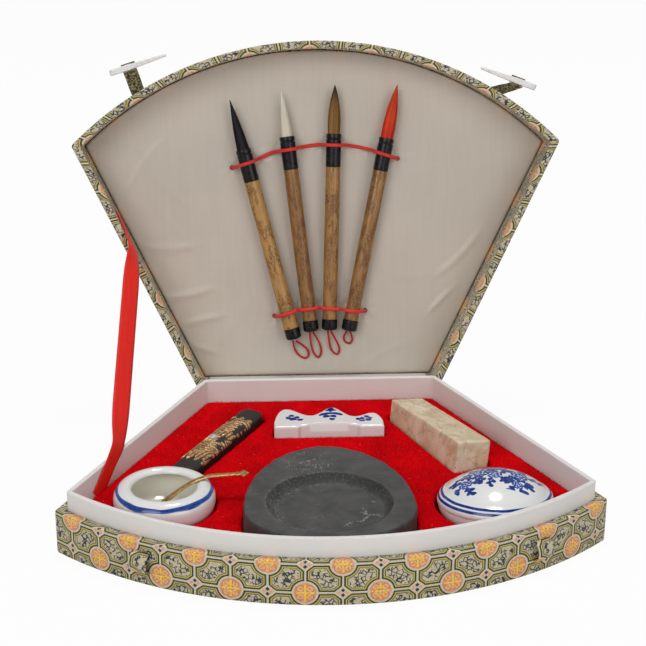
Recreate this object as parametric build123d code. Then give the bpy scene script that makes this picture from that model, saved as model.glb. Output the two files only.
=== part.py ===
from build123d import *
import math
import os

# A fan-shaped calligraphy set box that lies open: base with a fitted tray, lid leaning back.
# Millimetres, +Z up, +Y to the hinge. The origin is the middle of the base's underside.
# The lid and all it carries are drawn closed, over the base, and then swung open.

# Case outline
hinge_width = 140.0
front_chord = 280.0
side_depth = 143.0
arc_rise = 58.0
corner_round = 2.0

# Walls, boards and lining
lid_wall = 4.4
neck_clearance = 0.7
neck_thickness = 2.6
neck_rise = 10.1
rim_round = 0.8
board_thickness = 2.5
glue_gap = 0.1
base_height = 23.5
lid_height = 27.8
lid_seam = 0.2
lining_depth = 23.2
lining_thickness = 2.0
lining_gap = 0.5
lid_open_angle = 103.5

# Tray insert, glued up from six blocks of foam
tray_top = 20.5
tray_gap = 0.2
pocket_clearance = 0.8
paste_clearance = 1.3
seat_gap = 0.3
tray_cuts_x = (-47.0, 47.0)
tray_cuts_y = (-4.2, -4.2, -5.0)
tray_block_names = (("tray_front_left", "tray_front_middle", "tray_front_right"),
                    ("tray_back_left", "tray_back_middle", "tray_back_right"))

# Hinge cloth and liner
cloth_thickness = 0.5
cloth_end = 3.0
cloth_hinge_gap = 1.0
liner_thickness = 0.3
liner_end_gap = 6.0

# Case depths that the things in the tray keep their place from
hinge_y = (side_depth + arc_rise) / 2
chord_y = hinge_y - side_depth
stone_before_chord = 14.5
well_before_chord = 9.0
stick_behind_chord = 78.5
dish_behind_chord = 11.0
spoon_behind_chord = 16.6
paste_behind_chord = 5.0
rest_before_hinge = 54.5

# Ink stone
stone_centre = (-2.2, chord_y - stone_before_chord)
stone_half_width = 43.3
stone_back = 68.0
stone_front = 33.0
stone_thickness = 16.0
stone_top = 30.5
stone_draft = 1.0
stone_edge = 1.0
wall_chamfer = 0.3
well_centre = (-2.3, chord_y - well_before_chord)
well_radius = 32.0
well_floor_radius = 27.5
well_depth = 5.0

# Ink stick
stick_centre = (-58.5, chord_y + stick_behind_chord)
stick_angle = 61.6
stick_length = 82.0
stick_width = 16.6
stick_thickness = 9.0
stick_top = 24.5
stick_corner = 4.0
stick_edge = 0.8

# Seal stone, leaning in its pocket
seal_centre = (63.2, 38.5, 32.0)
seal_yaw = 22.8
seal_pitch = -4.6
seal_roll = 8.4
seal_length = 76.0
seal_side = 20.0
seal_edge = 0.6

# Brush rest, lying on its back
rest_base_y = hinge_y - rest_before_hinge
rest_left = -27.7
rest_right = 33.2
rest_foot_height = 2.0
rest_foot_width = 13.0
rest_thickness = 13.0
rest_top = 26.5
rest_edge = 1.2
rest_pocket_share = 1.5
rest_ridge = [(-16.5, 20.3), (-6.7, 13.2), (5.5, 23.6), (17.8, 11.2), (25.5, 15.0)]
rest_side_height = 5.0

# Water dish and spoon
dish_centre = (-85.3, chord_y + dish_behind_chord)
dish_radius = 26.0
dish_top = 31.2
dish_depth = 19.2
dish_mouth_radius = 16.5
dish_wall = 2.8
dish_foot_radius = 16.5
dish_foot_height = 1.2
dish_foot_wall = 3.0
dish_foot_draft = 0.5
dish_foot_flare = 0.6
dish_belly_share = 0.62
dish_outer_bow = (1.9, 1.5)
dish_shoulder_bow = (1.4, 1.0)
dish_crest_share = 0.55
dish_rim_outer = (2.6, 0.6)
dish_lip_fall = 1.8
dish_lip_bow = (2.0, 0.6)
dish_bowl_bow = (2.6, 1.2)
dish_floor_inset = 4.0
spoon_width = 3.5
spoon_thickness = 0.8
spoon_bend = (-64.0, chord_y + spoon_behind_chord)
spoon_inner_angle = 205.6
spoon_outer_angle = 3.0
spoon_rest_gap = 0.3
spoon_inner_run = [(4.5, 0.0), (8.5, -0.9), (15.0, -3.6), (23.6, -8.1), (25.6, -10.6)]
spoon_outer_run = [(2.5, 0.9), (13.5, 1.1), (19.0, 1.4)]
spoon_scoop_radius = 2.6
finial_radius = 2.8

# Seal paste box, leaning in its pocket
paste_centre = (83.4, chord_y + paste_behind_chord, 21.0)
paste_tilt = -7.0
paste_radius = 30.0
paste_shoulder_radius = 25.7
paste_shoulder_height = 6.4
paste_dome_radius = 40.0
paste_wall = 3.0
paste_edge_height = 1.5
paste_bowl_depth = 12.5
paste_foot_radius = 20.5
paste_lip_height = 1.9
paste_lip_gap = 0.5
paste_foot_height = 1.0
paste_foot_wall = 2.0
paste_foot_draft = 0.4
paste_lip_wall = 1.7
paste_lip_fall = 1.6
paste_rim_step = 0.4
paste_floor_inset = 4.0
paste_bowl_bow = (2.2, 2.6)
paste_outer_bow = (2.6, 0.55)
paste_shoulder_bow = (0.78, 0.45)
paste_crown_share = 0.55
paste_skirt_fall = 1.2
paste_fill_gap = 0.3
paste_fill_inset = 5.0
paste_fill_fall = 2.1
paste_fill_radius = 190.0

# Brushes: loop end of the cap on the lid (x, distance from hinge), lean, hair length, handle radius
brush_set = {
    "black": ((-13.8, 27.4), -14.3, 29.7, 4.4),
    "white": ((-3.7, 31.8), -6.5, 26.6, 4.3),
    "brown": ((7.0, 32.4), 1.8, 28.4, 4.3),
    "red": ((18.5, 31.8), 11.5, 31.7, 4.3),
}
handle_length = 90.0
ferrule_length = 19.0
ferrule_radius = 4.5
cap_length = 6.4
cap_radius = 4.6
spigot_radius = 3.1
spigot_length = 4.5
spigot_gap = 0.05
hair_root_radius = 3.6
hair_belly_radius = 4.3
hair_root_depth = 4.0
brush_clearance = 0.3
cap_round = 1.6
cap_mouth_round = 0.4
ferrule_step = 0.05
ferrule_ring_drop = 2.6
ferrule_groove = 0.3
ferrule_groove_slope = 0.4
ferrule_mouth_round = 0.1
hair_belly_share = 0.3
hair_waist = (0.62, 0.72)
hair_tip_radius = 0.35

# Elastic cords that hold the brushes, as (x, distance from hinge) where each meets the lining
elastic_radius = 0.9
elastic_gap = 0.1
upper_pins = [(-49.0, 128.5), (-33.0, 133.7), (-24.0, 137.8), (-8.2, 140.2),
              (2.6, 141.6), (19.0, 141.1), (31.9, 138.3), (48.2, 132.8)]
lower_pins = [(-25.2, 40.5), (-11.3, 45.1), (1.1, 46.2), (13.8, 45.0), (28.6, 43.0)]
lower_dip = 4.6
elastic_shoulder = 4.3
elastic_round = 3.0
elastic_pin_round = 1.2

# Hanging loops: (x, distance from hinge, depth below the lid's mouth)
loop_radius = 0.6
arc_share = 0.45
loop_routes = {
    "black": [(-14.6, 26.0, 19.0), (-14.2, 22.0, 21.0), (-11.7, 17.0, 22.2), (-6.6, 14.2, 22.2),
              (-4.6, 18.0, 22.2), (-7.6, 22.6, 21.0), (-12.6, 25.8, 19.4)],
    "white": [(-4.6, 31.0, 19.0), (-4.2, 25.6, 20.6), (-2.9, 18.8, 22.1), (0.4, 14.4, 22.2),
              (2.7, 18.4, 22.2), (1.0, 25.4, 20.6), (-2.6, 30.9, 19.0)],
    "brown": [(6.2, 31.6, 19.0), (6.6, 26.0, 20.6), (8.0, 19.6, 22.1), (11.9, 16.2, 22.2),
              (13.6, 20.0, 22.2), (11.0, 26.0, 20.6), (8.0, 31.3, 19.0)],
    "red": [(17.2, 31.0, 18.8), (15.3, 28.2, 21.2), (16.2, 24.4, 22.2), (19.4, 23.0, 22.2),
            (21.4, 26.4, 22.0), (19.4, 30.8, 19.2)],
}

# Closing straps and pegs. Reach and lean are seen from the root on the lid's arc
strap_width = 8.0
strap_thickness = 1.2
strap_height = 3.0
strap_root_gap = 0.3
strap_end_gap = 0.8
strap_set = {"left": (-30.8, 2.9, 14.4, 13.2), "right": (31.6, -7.0, 10.8, 11.3)}
peg_length = 33.5
peg_thickness = 3.3
peg_tip_thickness = 1.5
peg_width = 6.0
peg_tip_width = 3.6
peg_slot_share = 0.34
peg_slot_length = 8.5
peg_slot_height = 2.2
peg_end_share = 0.4
stub_proud = 0.5

# Cloth loops on the base that take the pegs
loop_angles = {"left": -28.7, "right": 30.7}
band_width = 9.5
band_low = 5.0
band_high = 20.0
band_bulge = 4.8
band_thickness = 0.9
band_seam_share = 1.3

# Stay ribbon that stops the lid, by where it meets the tray and leaves the lid's mouth
ribbon_width = 11.0
ribbon_thickness = 0.4
ribbon_gap = 0.5
ribbon_foot_y = -10.0
ribbon_lid_reach = 84.0
ribbon_tuck = 27.5
ribbon_foot_gap = 0.3

# Worked-out sizes and turns
half_turn = 180.0
cut_reach = 1000.0
liner_width = hinge_width - 2 * liner_end_gap
half_flare = (front_chord - hinge_width) / 2
side_length = math.hypot(side_depth, half_flare)
side_normal = (side_depth / side_length, half_flare / side_length)
arc_radius = front_chord ** 2 / 8 / arc_rise + arc_rise / 2
arc_centre_y = arc_radius - hinge_y
base_wall = lid_wall + neck_clearance - glue_gap
neck_outer = base_wall + glue_gap
neck_inner = neck_outer + neck_thickness
neck_top = base_height + neck_rise
brush_depth = lining_depth - cap_radius - brush_clearance


def fan(inset, corner):
    """The case's outline in plan, moved inwards by inset."""
    across, along = side_normal
    back_x = hinge_width / 2 - inset * (1 - along) / across
    back_y = hinge_y - inset
    radius = arc_radius - inset
    rise = back_y - arc_centre_y
    half = back_x * along - rise * across
    run = math.sqrt(half ** 2 - back_x ** 2 - rise ** 2 + radius ** 2) - half
    front_x = back_x + run * along
    front_y = back_y - run * across
    sides = Polyline((-front_x, front_y), (-back_x, back_y), (back_x, back_y), (front_x, front_y))
    front = ThreePointArc((front_x, front_y), (0, arc_centre_y - radius), (-front_x, front_y))
    face = make_face(sides + front)
    return fillet(face.vertices(), corner)


def slab(inset, low, high, corner=corner_round):
    """A fan-shaped plate between two heights."""
    return Pos(0, 0, low) * extrude(fan(inset, corner), high - low)


def wall_x(inset, y):
    """Where the right side wall's face, moved inwards by inset, crosses y."""
    across, along = side_normal
    return hinge_width / 2 + ((hinge_y - y) * along - inset) / across


def on_arc(angle, inset=0.0):
    """A point of the front arc, by its angle from the middle of the front."""
    radius = arc_radius - inset
    turn = math.radians(angle)
    return Vector(radius * math.sin(turn), arc_centre_y - radius * math.cos(turn), 0)


def opened(shape):
    """Swing a piece drawn on the closed lid back to where the ribbon holds it."""
    at_hinge = Pos(0, hinge_y, base_height)
    return at_hinge * Rotation(-lid_open_angle, 0, 0) * at_hinge.inverse() * shape


def lid_point(x, reach, depth):
    """A point of the closed lid, by its distance from the hinge and below the mouth."""
    return Vector(x, hinge_y - reach, base_height + depth)


def tube(points, radius, radii):
    """A round cord along straight runs joined by arcs."""
    path = FilletPolyline(*points, radius=radii)
    section = Plane(origin=path @ 0, z_dir=path % 0) * Circle(radius)
    return sweep(section, path)


def cord_radii(points):
    """The largest arc that each corner's two runs allow."""
    radii = []
    for before, corner, after in zip(points, points[1:], points[2:]):
        into = Vector(*corner) - Vector(*before)
        out = Vector(*after) - Vector(*corner)
        half_bend = math.radians(into.get_angle(out)) / 2
        radii.append(arc_share * min(into.length, out.length) / math.tan(half_bend))
    return radii


# ---- Case ----

def base_board():
    return slab(base_wall + glue_gap, 0, board_thickness)


def base_outer_wall():
    ring = slab(0, 0, base_height) - slab(base_wall, -1, base_height + 1, rim_round)
    top = ring.faces().sort_by(Axis.Z)[-1]
    return chamfer(top.edges(), wall_chamfer)


def neck_liner():
    ring = slab(neck_outer, board_thickness, neck_top, corner_round)
    ring -= slab(neck_inner, board_thickness - 1, neck_top + 1, rim_round)
    top = ring.faces().sort_by(Axis.Z)[-1]
    return fillet(top.edges(), rim_round)


def hinge_cloth(low, high):
    """A cloth strip on the outside of a back wall."""
    width = hinge_width - 2 * cloth_end
    strip = Box(width, cloth_thickness, high - low, align=(Align.CENTER, Align.MIN, Align.MIN))
    return Pos(0, hinge_y, low) * strip


def hinge_cloth_base():
    return hinge_cloth(cloth_end, base_height - cloth_hinge_gap)


def hinge_cloth_lid():
    return opened(hinge_cloth(base_height + cloth_hinge_gap, base_height + lid_height - cloth_end))


def hinge_liner():
    """Paper strip on the inner face of the lid's back wall."""
    height = lining_depth - 2 * cloth_hinge_gap
    strip = Box(liner_width, liner_thickness, height, align=(Align.CENTER, Align.MAX, Align.MIN))
    return opened(Pos(0, hinge_y - lid_wall, base_height + cloth_hinge_gap) * strip)


def lid_side_wall():
    top = base_height + lid_height
    ring = slab(0, base_height + lid_seam, top)
    ring -= slab(lid_wall, base_height - 1, top + 1, rim_round)
    outer = ring.faces().sort_by(Axis.Z)[-1].outer_wire()
    return opened(fillet(outer.edges(), rim_round))


def lid_board():
    low = base_height + lining_depth + lining_thickness + glue_gap
    return opened(slab(lid_wall + glue_gap, low, base_height + lid_height))


def lid_lining():
    low = base_height + lining_depth
    return opened(slab(lid_wall + lining_gap, low, low + lining_thickness))


# ---- Things in the tray ----

def stone_outline(grow=0.0):
    """Egg-shaped plan: a long half-ellipse to the back and a short one to the front."""
    across = stone_half_width + grow
    back = EllipticalCenterArc(stone_centre, across, stone_back + grow, 0, arc_size=half_turn)
    front = EllipticalCenterArc(stone_centre, across, stone_front + grow, half_turn, arc_size=half_turn)
    return make_face(back + front)


def ink_stone():
    low = stone_top - stone_thickness
    draft = stone_thickness * math.tan(math.radians(stone_draft))
    body = loft([Pos(0, 0, low) * stone_outline(), Pos(0, 0, stone_top) * stone_outline(-draft)], ruled=True)
    body = fillet(body.edges().group_by(Axis.Z)[-1], stone_edge)
    well = Cone(well_floor_radius, well_radius, well_depth, align=(Align.CENTER, Align.CENTER, Align.MAX))
    return body - Pos(*well_centre, stone_top) * well


def ink_stick():
    outline = RectangleRounded(stick_length, stick_width, stick_corner)
    bar = extrude(outline, stick_thickness)
    bar = fillet(bar.edges().group_by(Axis.Z)[-1], stick_edge)
    spot = Pos(*stick_centre, stick_top - stick_thickness) * Rotation(0, 0, stick_angle)
    return spot * bar


def leaning_seal():
    """The seal block in the yaw frame of its pocket, with the middle of its top at the origin."""
    block = Box(seal_side, seal_length, seal_side, align=(Align.CENTER, Align.CENTER, Align.MAX))
    return Rotation(seal_pitch, 0, 0) * Rotation(0, seal_roll, 0) * fillet(block.edges(), seal_edge)


def seal_stone():
    return Pos(*seal_centre) * Rotation(0, 0, seal_yaw) * leaning_seal()


def rest_peaks(grow=0.0):
    """The ridge line of three peaks, from one end of the rest to the other."""
    shoulder = rest_base_y + rest_side_height
    ridge = [(x, rest_base_y + rise + rest_pocket_share * grow) for x, rise in rest_ridge]
    return Spline((rest_left - grow, shoulder), *ridge, (rest_right + grow, shoulder))


def rest_outline():
    """Three peaks over a straight base with two feet."""
    low = rest_base_y - rest_foot_height
    peaks = rest_peaks()
    left_foot = rest_left + rest_foot_width
    right_foot = rest_right - rest_foot_width
    base = Polyline(peaks @ 1, (rest_right, low), (right_foot, low),
                    (right_foot - rest_foot_height, rest_base_y),
                    (left_foot + rest_foot_height, rest_base_y), (left_foot, low),
                    (rest_left, low), peaks @ 0)
    return make_face(peaks + base)


def rest_pocket_outline():
    """The same peaks, a little larger, over a straight base."""
    low = rest_base_y - rest_foot_height - pocket_clearance
    peaks = rest_peaks(pocket_clearance)
    base = Polyline(peaks @ 1, ((peaks @ 1).X, low), ((peaks @ 0).X, low), peaks @ 0)
    return make_face(peaks + base)


def brush_rest():
    body = Pos(0, 0, rest_top - rest_thickness) * extrude(rest_outline(), rest_thickness)
    return fillet(body.edges().group_by(Axis.Z)[-1], rest_edge)


def water_dish():
    floor = dish_top - dish_depth
    belly = floor + dish_belly_share * dish_depth
    foot_top = floor + dish_foot_height
    inner_belly = dish_radius - dish_wall
    inner_floor = foot_top + dish_wall
    crest = dish_mouth_radius + dish_crest_share * dish_wall
    foot_inner = dish_foot_radius - dish_foot_wall
    foot_outer = dish_foot_radius + dish_foot_flare
    shoulder_top = (crest + dish_rim_outer[0], dish_top - dish_rim_outer[1])
    mouth = (dish_mouth_radius, dish_top - dish_lip_fall)
    floor_edge = (dish_foot_radius - dish_floor_inset, inner_floor)
    foot = Polyline((0, foot_top), (foot_inner, foot_top), (foot_inner + dish_foot_draft, floor),
                    (dish_foot_radius, floor), (foot_outer, foot_top))
    outer_bow = (dish_radius - dish_outer_bow[0], (foot_top + belly) / 2 - dish_outer_bow[1])
    outer = ThreePointArc((foot_outer, foot_top), outer_bow, (dish_radius, belly))
    shoulder_bow = (dish_radius - dish_shoulder_bow[0], (belly + dish_top) / 2 + dish_shoulder_bow[1])
    shoulder = ThreePointArc((dish_radius, belly), shoulder_bow, shoulder_top)
    rim = ThreePointArc(shoulder_top, (crest, dish_top), mouth)
    lip_bow = (inner_belly - dish_lip_bow[0], (belly + dish_top) / 2 - dish_lip_bow[1])
    lip = ThreePointArc(mouth, lip_bow, (inner_belly, belly))
    bowl_bow = (inner_belly - dish_bowl_bow[0], (inner_floor + belly) / 2 - dish_bowl_bow[1])
    bowl = ThreePointArc((inner_belly, belly), bowl_bow, floor_edge)
    floor_line = Polyline(floor_edge, (0, inner_floor), (0, foot_top))
    profile = make_face(foot + outer + shoulder + rim + lip + bowl + floor_line)
    return Pos(*dish_centre, 0) * revolve(Plane.XZ * profile, Axis.Z)


def spoon_arm(run, angle, end_radius):
    """A flat strip in one upright plane, starting over the dish's rim."""
    path = Polyline((0, 0), *run)
    strip = extrude(Plane.XZ * trace(path, spoon_thickness), spoon_width / 2, both=True)
    tip = Pos(run[-1][0], 0, run[-1][1]) * Cylinder(end_radius, spoon_thickness)
    return Rotation(0, 0, angle) * (strip + tip)


def water_spoon():
    inner = spoon_arm(spoon_inner_run, spoon_inner_angle, spoon_scoop_radius)
    outer = spoon_arm(spoon_outer_run, spoon_outer_angle, finial_radius)
    bend = Cylinder(spoon_width / 2, spoon_thickness)
    rest_height = dish_top + spoon_rest_gap + spoon_thickness / 2
    return Pos(*spoon_bend, rest_height) * (inner + outer + bend)


def in_paste_pocket(profile):
    """Turn a profile, drawn from the cover's edge plane, and lean it in the pocket."""
    return Pos(*paste_centre) * Rotation(paste_tilt, 0, 0) * revolve(Plane.XZ * profile, Axis.Z)


def dome_arc(edge_radius, sphere_radius, sphere_centre):
    """Half of a spherical cap's outline, from its edge to the axis."""
    spots = []
    for reach in (edge_radius, edge_radius / 2, 0):
        spots.append((reach, sphere_centre + math.sqrt(sphere_radius ** 2 - reach ** 2)))
    return ThreePointArc(*spots)


def paste_cover():
    centre = paste_shoulder_height - math.sqrt(paste_dome_radius ** 2 - paste_shoulder_radius ** 2)
    inner_edge = paste_radius - paste_wall + paste_lip_gap
    inner_reach = paste_shoulder_radius - paste_crown_share * paste_wall
    along, up = paste_shoulder_bow
    shoulder_middle = (paste_shoulder_radius + along * (paste_radius - paste_shoulder_radius),
                       paste_edge_height + up * (paste_shoulder_height - paste_edge_height))
    edge = Polyline((inner_edge, 0), (paste_radius, 0), (paste_radius, paste_edge_height))
    shoulder = ThreePointArc((paste_radius, paste_edge_height), shoulder_middle,
                             (paste_shoulder_radius, paste_shoulder_height))
    dome = dome_arc(paste_shoulder_radius, paste_dome_radius, centre)
    hollow = dome_arc(inner_reach, paste_dome_radius - paste_wall, centre)
    crown = Line(dome @ 1, hollow @ 1)
    skirt = Polyline(hollow @ 0, (inner_edge, (hollow @ 0).Y - paste_skirt_fall), (inner_edge, 0))
    return in_paste_pocket(make_face(edge + shoulder + dome + crown + hollow + skirt))


def paste_bowl():
    rim = -seat_gap
    foot = -paste_bowl_depth
    foot_top = foot + paste_foot_height
    lip = paste_radius - paste_wall
    lip_inner = lip - paste_lip_wall
    floor = foot_top + paste_wall
    floor_reach = paste_foot_radius - paste_floor_inset
    foot_inner = paste_foot_radius - paste_foot_wall
    brink = (lip_inner, rim - paste_lip_fall)
    bowl_bow = (lip_inner - paste_bowl_bow[0], floor + paste_bowl_bow[1])
    inner = Polyline((0, floor), (floor_reach, floor)) + ThreePointArc((floor_reach, floor), bowl_bow, brink)
    outer_rim = (paste_radius - paste_rim_step, rim)
    edge = Polyline(brink, (lip_inner, rim + paste_lip_height), (lip, rim + paste_lip_height),
                    (lip, rim), outer_rim)
    outer_bow = (paste_radius - paste_outer_bow[0], foot * paste_outer_bow[1])
    outer = ThreePointArc(outer_rim, outer_bow, (paste_foot_radius, foot_top))
    base = Polyline((paste_foot_radius, foot_top), (paste_foot_radius, foot), (foot_inner, foot),
                    (foot_inner - paste_foot_draft, foot_top), (0, foot_top), (0, floor))
    return in_paste_pocket(make_face(inner + edge + outer + base))


def seal_paste():
    foot = -paste_bowl_depth + paste_foot_height + paste_wall + paste_fill_gap
    reach = paste_foot_radius - paste_fill_inset
    brim = paste_radius - paste_wall - paste_lip_wall - paste_fill_gap
    brim_height = -seat_gap - paste_fill_fall
    top = dome_arc(brim, paste_fill_radius, brim_height - math.sqrt(paste_fill_radius ** 2 - brim ** 2))
    side_bow = (brim - paste_bowl_bow[0], foot + paste_bowl_bow[1])
    side = ThreePointArc((reach, foot), side_bow, (brim, brim_height))
    profile = make_face(Polyline(top @ 1, (0, foot), (reach, foot)) + side + top)
    return in_paste_pocket(profile)


def pocket(outline, floor):
    """A hole in the tray, from its floor up past the tray's top."""
    return Pos(0, 0, floor) * extrude(outline, tray_top + 1 - floor)


def pocketed_tray():
    """The whole insert with a pocket for each thing."""
    tray = slab(neck_inner + tray_gap, board_thickness, tray_top, rim_round)
    tray -= pocket(stone_outline(pocket_clearance), stone_top - stone_thickness - seat_gap)
    stick_hole = RectangleRounded(stick_length + 2 * pocket_clearance,
                                  stick_width + 2 * pocket_clearance, stick_corner)
    stick_hole = Pos(*stick_centre) * Rotation(0, 0, stick_angle) * stick_hole
    tray -= pocket(stick_hole, stick_top - stick_thickness - seat_gap)
    block = leaning_seal().bounding_box()
    middle = block.center()
    seal_hole = Pos(middle.X, middle.Y) * Rectangle(block.size.X + 2 * pocket_clearance,
                                                    block.size.Y + 2 * pocket_clearance)
    seal_hole = Pos(*seal_centre[:2]) * Rotation(0, 0, seal_yaw) * seal_hole
    tray -= pocket(seal_hole, seal_centre[2] + block.min.Z - seat_gap)
    tray -= pocket(rest_pocket_outline(), rest_top - rest_thickness - seat_gap)
    dish_hole = Pos(*dish_centre) * Circle(dish_radius + pocket_clearance)
    tray -= pocket(dish_hole, dish_top - dish_depth - seat_gap)
    paste_hole = Pos(*paste_centre[:2]) * Circle(paste_radius + paste_clearance)
    tilt = math.radians(-paste_tilt)
    paste_low = paste_bowl_depth * math.cos(tilt) + paste_foot_radius * math.sin(tilt)
    tray -= pocket(paste_hole, paste_centre[2] - paste_low - seat_gap)
    return tray


def tray_blocks():
    """The insert cut into its six blocks, by name."""
    tray = pocketed_tray()
    edges_x = (-cut_reach, *tray_cuts_x, cut_reach)
    blocks = {}
    for row, names in enumerate(tray_block_names):
        for column, name in enumerate(names):
            edges_y = (-cut_reach, tray_cuts_y[column], cut_reach)
            wide = edges_x[column + 1] - edges_x[column] - glue_gap
            deep = edges_y[row + 1] - edges_y[row] - glue_gap
            corner = Pos(edges_x[column] + glue_gap / 2, edges_y[row] + glue_gap / 2, 0)
            blocks[name] = tray & corner * Box(wide, deep, cut_reach, align=Align.MIN)
    return blocks


# ---- Brushes and their cords ----

def on_brush(shape, name):
    """Place a piece drawn along +Z from the cap's loop end."""
    (x, reach), lean, hair, radius = brush_set[name]
    spot = Plane(origin=lid_point(x, reach, brush_depth), x_dir=(0, 0, 1),
                 z_dir=(math.sin(math.radians(lean)), -math.cos(math.radians(lean)), 0))
    return opened(spot.location * shape)


def turned(points):
    """A solid turned about Z from (radius, height) points, closed along the axis."""
    return revolve(Plane.XZ * make_face(Polyline(*points, points[0])), Axis.Z)


def brush_cap(name):
    body = Cylinder(cap_radius, cap_length, align=(Align.CENTER, Align.CENTER, Align.MIN))
    body = fillet(body.edges().group_by(Axis.Z)[0], cap_round)
    body = fillet(body.edges().group_by(Axis.Z)[-1], cap_mouth_round)
    bore = Cylinder(spigot_radius + spigot_gap, spigot_length + spigot_gap,
                    align=(Align.CENTER, Align.CENTER, Align.MAX))
    return on_brush(body - Pos(0, 0, cap_length) * bore, name)


def brush_handle(name):
    radius = brush_set[name][3]
    low = cap_length + spigot_gap
    high = cap_length + handle_length - spigot_gap
    profile = [(0, low - spigot_length), (spigot_radius, low - spigot_length), (spigot_radius, low),
               (radius, low), (radius, high), (spigot_radius, high),
               (spigot_radius, high + spigot_length), (0, high + spigot_length)]
    return on_brush(turned(profile), name)


def brush_ferrule(name):
    low = cap_length + handle_length
    high = low + ferrule_length
    socket_radius = spigot_radius + spigot_gap
    socket_end = low + spigot_length + spigot_gap
    hair_socket = hair_root_radius + spigot_gap
    ring = high - ferrule_ring_drop
    waist = ferrule_radius - ferrule_groove
    profile = [(0, socket_end), (socket_radius, socket_end), (socket_radius, low),
               (brush_set[name][3] + ferrule_step, low),
               (ferrule_radius, ring - 2 * ferrule_groove_slope), (waist, ring - ferrule_groove_slope),
               (waist, ring), (ferrule_radius, ring + ferrule_groove_slope),
               (ferrule_radius - ferrule_mouth_round, high), (hair_socket, high),
               (hair_socket, high - hair_root_depth), (0, high - hair_root_depth)]
    return on_brush(turned(profile), name)


def brush_hair(name):
    hair = brush_set[name][2]
    mouth = cap_length + handle_length + ferrule_length
    root = mouth - hair_root_depth + spigot_gap
    waist = (hair_waist[0] * hair_belly_radius, mouth + hair_waist[1] * hair)
    belly = Spline((hair_root_radius, mouth), (hair_belly_radius, mouth + hair_belly_share * hair),
                   waist, (hair_tip_radius, mouth + hair))
    sides = Polyline((hair_tip_radius, mouth + hair), (0, mouth + hair), (0, root), (hair_root_radius, root),
                     (hair_root_radius, mouth))
    return on_brush(revolve(Plane.XZ * make_face(belly + sides), Axis.Z), name)


def hanging_loop(name):
    points = [lid_point(*spot) for spot in loop_routes[name]]
    return opened(tube(points, loop_radius, cord_radii(points)))


def elastic(points, radii):
    return opened(tube([lid_point(*spot) for spot in points], elastic_radius, radii))


def over_brush(left, right, name):
    """Two corners of an elastic that arches over one brush between two pins."""
    (x, reach), lean, hair, radius = brush_set[name]
    over = brush_depth - cap_radius - brush_clearance - elastic_radius - elastic_gap
    slope = (right[1] - left[1]) / (right[0] - left[0])
    drift = math.tan(math.radians(lean))
    middle = (x + drift * (left[1] - slope * left[0] - reach)) / (1 - drift * slope)
    height = left[1] + slope * (middle - left[0])
    step = elastic_shoulder / math.hypot(1, slope)
    return [(middle + s * step, height + s * step * slope, over) for s in (-1, 1)]


def cord_upper():
    on_lining = lining_depth - elastic_radius - elastic_gap
    route = []
    radii = []
    for left, right, name in zip(upper_pins[0::2], upper_pins[1::2], brush_set):
        route += [(*left, on_lining), *over_brush(left, right, name), (*right, on_lining)]
        radii += [elastic_pin_round, elastic_round, elastic_round, elastic_pin_round]
    return elastic(route, radii[1:-1])


def cord_lower():
    on_lining = lining_depth - elastic_radius - elastic_gap
    dip = brush_depth - cap_radius - brush_clearance - elastic_radius - elastic_gap + lower_dip
    depths = [dip, dip, dip, on_lining]
    route = [(*lower_pins[0], on_lining)]
    radii = []
    for left, right, depth, name in zip(lower_pins, lower_pins[1:], depths, brush_set):
        route += [*over_brush(left, right, name), (*right, depth)]
        radii += [elastic_round, elastic_round, elastic_pin_round]
    return elastic(route, radii[:-1])


# ---- Straps, pegs and loops ----

def strap_plane(side):
    """Plan frame at a strap's root: x along the arc to the middle, y outwards."""
    angle = strap_set[side][0]
    turn = math.radians(angle)
    inwards = -1 if angle > 0 else 1
    root = on_arc(angle) + Vector(0, 0, base_height + strap_height)
    return Plane(origin=root, x_dir=(inwards * math.cos(turn), inwards * math.sin(turn), 0),
                 z_dir=(0, 0, -inwards))


def strap_axis_offset():
    return strap_thickness / 2 + strap_root_gap


def peg_frame(side):
    """Plan frame on a peg's inner face at its slot: x to the taper end, y outwards."""
    angle, along, out, lean = strap_set[side]
    turn = math.radians(lean)
    inner = (along - math.sin(turn) * peg_thickness / 2, out - math.cos(turn) * peg_thickness / 2)
    return Plane(origin=(*inner, 0), x_dir=(math.cos(turn), -math.sin(turn), 0), z_dir=(0, 0, 1))


def strap(side):
    frame = peg_frame(side)
    low = strap_axis_offset()
    half = strap_width / 2
    ends = [frame.from_local_coords((s * half, -strap_end_gap, 0)) for s in (1, -1)]
    outline = Polyline((-half, low), (half, low), (ends[0].X, ends[0].Y), (ends[1].X, ends[1].Y),
                       (-half, low))
    sheet = extrude(make_face(outline), strap_thickness / 2, both=True)
    root = Pos(0, low, 0) * Rotation(0, 90, 0) * Cylinder(strap_thickness / 2, strap_width)
    return opened(strap_plane(side).location * (sheet + root))


def peg(side):
    blunt = -peg_slot_share * peg_length
    tip = (1 - peg_slot_share) * peg_length
    middle = peg_thickness / 2
    plan = make_face(Polyline((blunt, 0), (0, 0), (tip, middle - peg_tip_thickness / 2),
                              (tip, middle + peg_tip_thickness / 2), (0, peg_thickness),
                              (blunt, peg_thickness), (blunt, 0)))
    body = extrude(plan, peg_width / 2, both=True)
    front = make_face(Polyline((blunt, -peg_width / 2), (0, -peg_width / 2), (tip, -peg_tip_width / 2),
                               (tip, peg_tip_width / 2), (0, peg_width / 2), (blunt, peg_width / 2),
                               (blunt, -peg_width / 2)))
    front = fillet(front.vertices().group_by(Axis.X)[0], peg_width * peg_end_share)
    body = body & extrude(Plane.XZ * front, -peg_thickness)
    slot = Pos(0, middle, 0) * Box(peg_slot_length, 2 * peg_thickness, peg_slot_height)
    return opened(strap_plane(side).location * peg_frame(side).location * (body - slot))


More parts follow.
